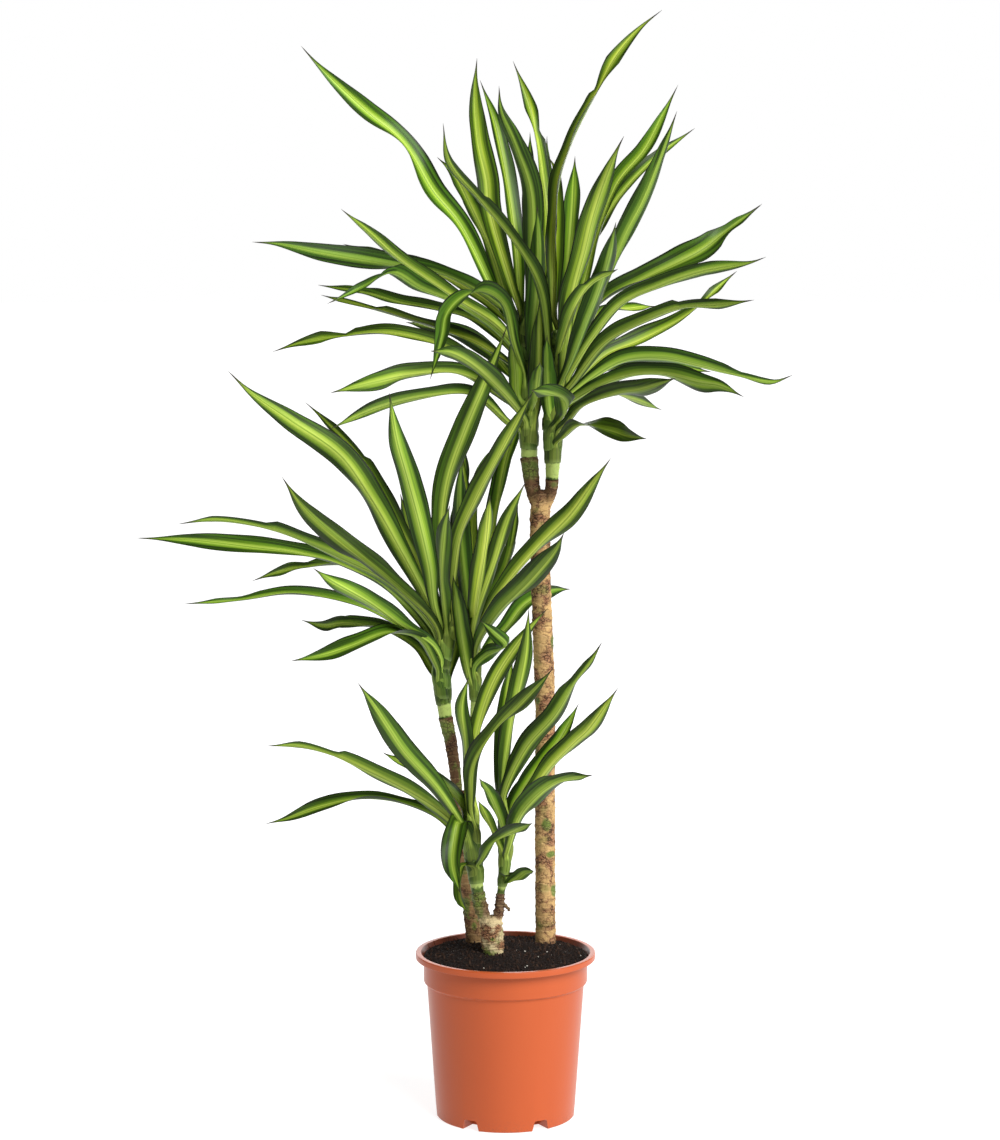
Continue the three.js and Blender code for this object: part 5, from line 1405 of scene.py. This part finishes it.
# The heaps' noise, in waves to the metre, how rough it is, and its value that leaves the ground as it is.
HEAP_NOISE, HEAP_ROUGHNESS, HEAP_LEVEL = 70.0, 0.62, 0.42
HEAP_GAIN = 2.0
MOUND = [[0, SOIL_EDGE + SOIL_RISE], [SHOULDER_RADIUS * 0.4, SOIL_EDGE + SOIL_RISE * 0.87],
         [SHOULDER_RADIUS * 0.7, SOIL_EDGE + SOIL_RISE * 0.5], [SOIL_RADIUS, SOIL_EDGE]]
radii = np.linspace(0, SOIL_RADIUS, CRUST_RINGS)
heights = np.interp(radii, *np.transpose(MOUND)) + CRUST_RISE
skirt_foot = SOIL_EDGE - CRUST_SKIRT
crust_outline = [(0, skirt_foot), (SOIL_RADIUS - SKIRT_INSET, skirt_foot), *list(zip(radii, heights))[::-1]]
crust = turn_on_axis("soil_crust", crust_outline, CRUST_SIDES)

soil_tree, given, result = new_geometry_tree(
    "soil crust", swell=0.0022, crumb_count=250000.0, chip_count=15000.0, perlite_count=900.0, seed=7,
    skin=None, chip=None, perlite=None)
where = add(soil_tree, "GeometryNodeInputPosition")
parts = add(soil_tree, "ShaderNodeSeparateXYZ", {0: where}).outputs
on_top = add(soil_tree, "ShaderNodeMath", {0: parts["Z"], 1: (SOIL_EDGE + PUSHED_ABOVE) * MM},
             operation="GREATER_THAN")
heap = add(soil_tree, "ShaderNodeTexNoise", {"Vector": where, "Scale": HEAP_NOISE, "Detail": 5.0,
                                             "Roughness": HEAP_ROUGHNESS}).outputs[0]
heap = add(soil_tree, "ShaderNodeMath", {0: heap, 1: HEAP_LEVEL}, operation="SUBTRACT")
heap = add(soil_tree, "ShaderNodeMath", {0: heap, 1: given["swell"]}, operation="MULTIPLY")
heap = add(soil_tree, "ShaderNodeMath", {0: heap, 1: HEAP_GAIN}, operation="MULTIPLY")
rise = add(soil_tree, "ShaderNodeCombineXYZ", {"Z": heap})
ground = add(soil_tree, "GeometryNodeSetPosition", {"Geometry": given["Geometry"], "Selection": on_top,
                                                    "Offset": rise})
ground = add(soil_tree, "GeometryNodeSetMaterial", {"Geometry": ground, "Material": given["skin"]})
from_axis = add(soil_tree, "ShaderNodeVectorMath", {0: where, 1: (1, 1, 0)}, operation="MULTIPLY")
from_axis = add(soil_tree, "ShaderNodeVectorMath", {0: from_axis}, operation="LENGTH").outputs["Value"]
inside = add(soil_tree, "ShaderNodeMath", {0: from_axis, 1: (SOIL_RADIUS - BARE_EDGE) * MM},
             operation="LESS_THAN")
strewn_on = add(soil_tree, "ShaderNodeMath", {0: inside, 1: on_top}, operation="MULTIPLY")
join = add(soil_tree, "GeometryNodeJoinGeometry")
soil_tree.links.new(ground.outputs[0], join.inputs[0])
# What is strewn: its count per square metre, the least and the greatest size, its flatness, material.
STREWN = {
    "crumb": ("crumb_count", 0.0006, 0.0019, (1, 1, 0.75), "skin"),
    "chip": ("chip_count", 0.0010, 0.0030, (1.9, 0.55, 0.5), "chip"),
    "fibre": ("chip_count", 0.0022, 0.0060, (1.6, 0.07, 0.07), "chip"),
    "perlite": ("perlite_count", 0.0008, 0.0015, (1, 0.9, 0.8), "perlite"),
}
for offset, (count, least, most, shape, skin) in enumerate(STREWN.values()):
    own_seed = add(soil_tree, "ShaderNodeMath", {0: given["seed"], 1: float(offset)}, operation="ADD")
    spread = add(soil_tree, "GeometryNodeDistributePointsOnFaces",
                 {"Mesh": ground, "Selection": strewn_on, "Density": given[count], "Seed": own_seed})
    lump = add(soil_tree, "GeometryNodeMeshIcoSphere", {"Radius": 1.0, "Subdivisions": 1})
    lump = add(soil_tree, "GeometryNodeTransform", {"Geometry": lump, "Scale": shape})
    spin = add(soil_tree, "FunctionNodeRandomValue", {"Max": (math.tau, math.tau, math.tau),
                                                      "Seed": own_seed}, data_type="FLOAT_VECTOR")
    size = add(soil_tree, "FunctionNodeRandomValue", {2: least, 3: most, "Seed": own_seed},
               data_type="FLOAT")
    strewn = add(soil_tree, "GeometryNodeInstanceOnPoints",
                 {"Points": spread.outputs["Points"], "Instance": lump,
                  "Rotation": spin.outputs["Value"], "Scale": size.outputs[1]})
    strewn = add(soil_tree, "GeometryNodeRealizeInstances", {"Geometry": strewn})
    strewn = add(soil_tree, "GeometryNodeSetMaterial", {"Geometry": strewn, "Material": given[skin]})
    soil_tree.links.new(strewn.outputs[0], join.inputs[0])
soil_tree.links.new(join.outputs[0], result)
settle(run_tree(crust, soil_tree, skin=soil_skin, chip=chip_skin, perlite=perlite_skin))
finish_piece(crust, "soil")

# %% [markdown]
# ## Floor and light
# The plant stands on a sheet of opal acrylic that is lit from below, as on a product table, so the floor
# is white as far as the eye sees and takes only a breath of shadow. A wide soft sun from the front right
# gives the form. A tall soft box stands on the right, and a long low one behind the plant whitens the
# pot's lip and its two edges. What is seen of the sky is plain white, and its light is held back, or
# else the leaves would lose their dark margins.

# %% Floor
FLOOR_RADIUS, FLOOR_DROP = 40, 0.0005
FLOOR_GREY, WHITE = "#a6a6a6", "#ffffff"

bpy.ops.mesh.primitive_circle_add(vertices=96, radius=FLOOR_RADIUS, fill_type="NGON",
                                  location=(0, 0, -FLOOR_DROP))
floor = bpy.context.object
floor.name = "floor"
floor_paint, tree = new_material("opal acrylic floor, lit from below")
cover(tree, Base_Color=linear(FLOOR_GREY), Roughness=0.9, Emission_Color=linear(WHITE),
      Emission_Strength=0.82)
floor.data.materials.append(floor_paint)
floor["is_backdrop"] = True

# %% Lights
# How bright the sky is where it is seen, and how much of that it gives as light.
SKY_SEEN, SKY_LIGHT = 1.0, 0.28

world = bpy.data.worlds.new("pale studio")
world.use_nodes = True
sky = world.node_tree
seen = add(sky, "ShaderNodeLightPath").outputs["Is Camera Ray"]
strength = add(sky, "ShaderNodeMapRange", {"Value": seen, "To Min": SKY_LIGHT, "To Max": SKY_SEEN})
sky.links.new(strength.outputs[0], sky.nodes["Background"].inputs["Strength"])
sky.nodes["Background"].inputs["Color"].default_value = linear(WHITE)
bpy.context.scene.world = world


def aim_lamp(name, kind, place, aim, power, **settings):
    data = bpy.data.lights.new(name, kind)
    data.energy = power
    for key, value in settings.items():
        setattr(data, key, value)
    lamp = bpy.data.objects.new(name, data)
    lamp.location = place
    lamp.visible_camera = False
    lamp.rotation_euler = (Vector(aim) - Vector(place)).to_track_quat("-Z", "Y").to_euler()
    bpy.context.collection.objects.link(lamp)


MIDDLE = (0, 0, 0.6)
aim_lamp("sun", "SUN", (2.0, -2.8, 3.7), MIDDLE, 3.5, angle=math.radians(34))
aim_lamp("right box", "AREA", (3.0, -1.4, 0.9), MIDDLE, 50, shape="RECTANGLE", size=0.6, size_y=2.2)
aim_lamp("back box", "AREA", (0, 3.2, 0.95), MIDDLE, 44, shape="RECTANGLE", size=4.5, size_y=1.2)
bpy.context.scene.view_settings.view_transform = "Standard"

# %% [markdown]
# ## Last measures
# The box round the finished plant is measured. The finished plant has to stay in the box of the
# imported solids, give or take a few millimetres.

# %% Sizes and finish
low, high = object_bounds()
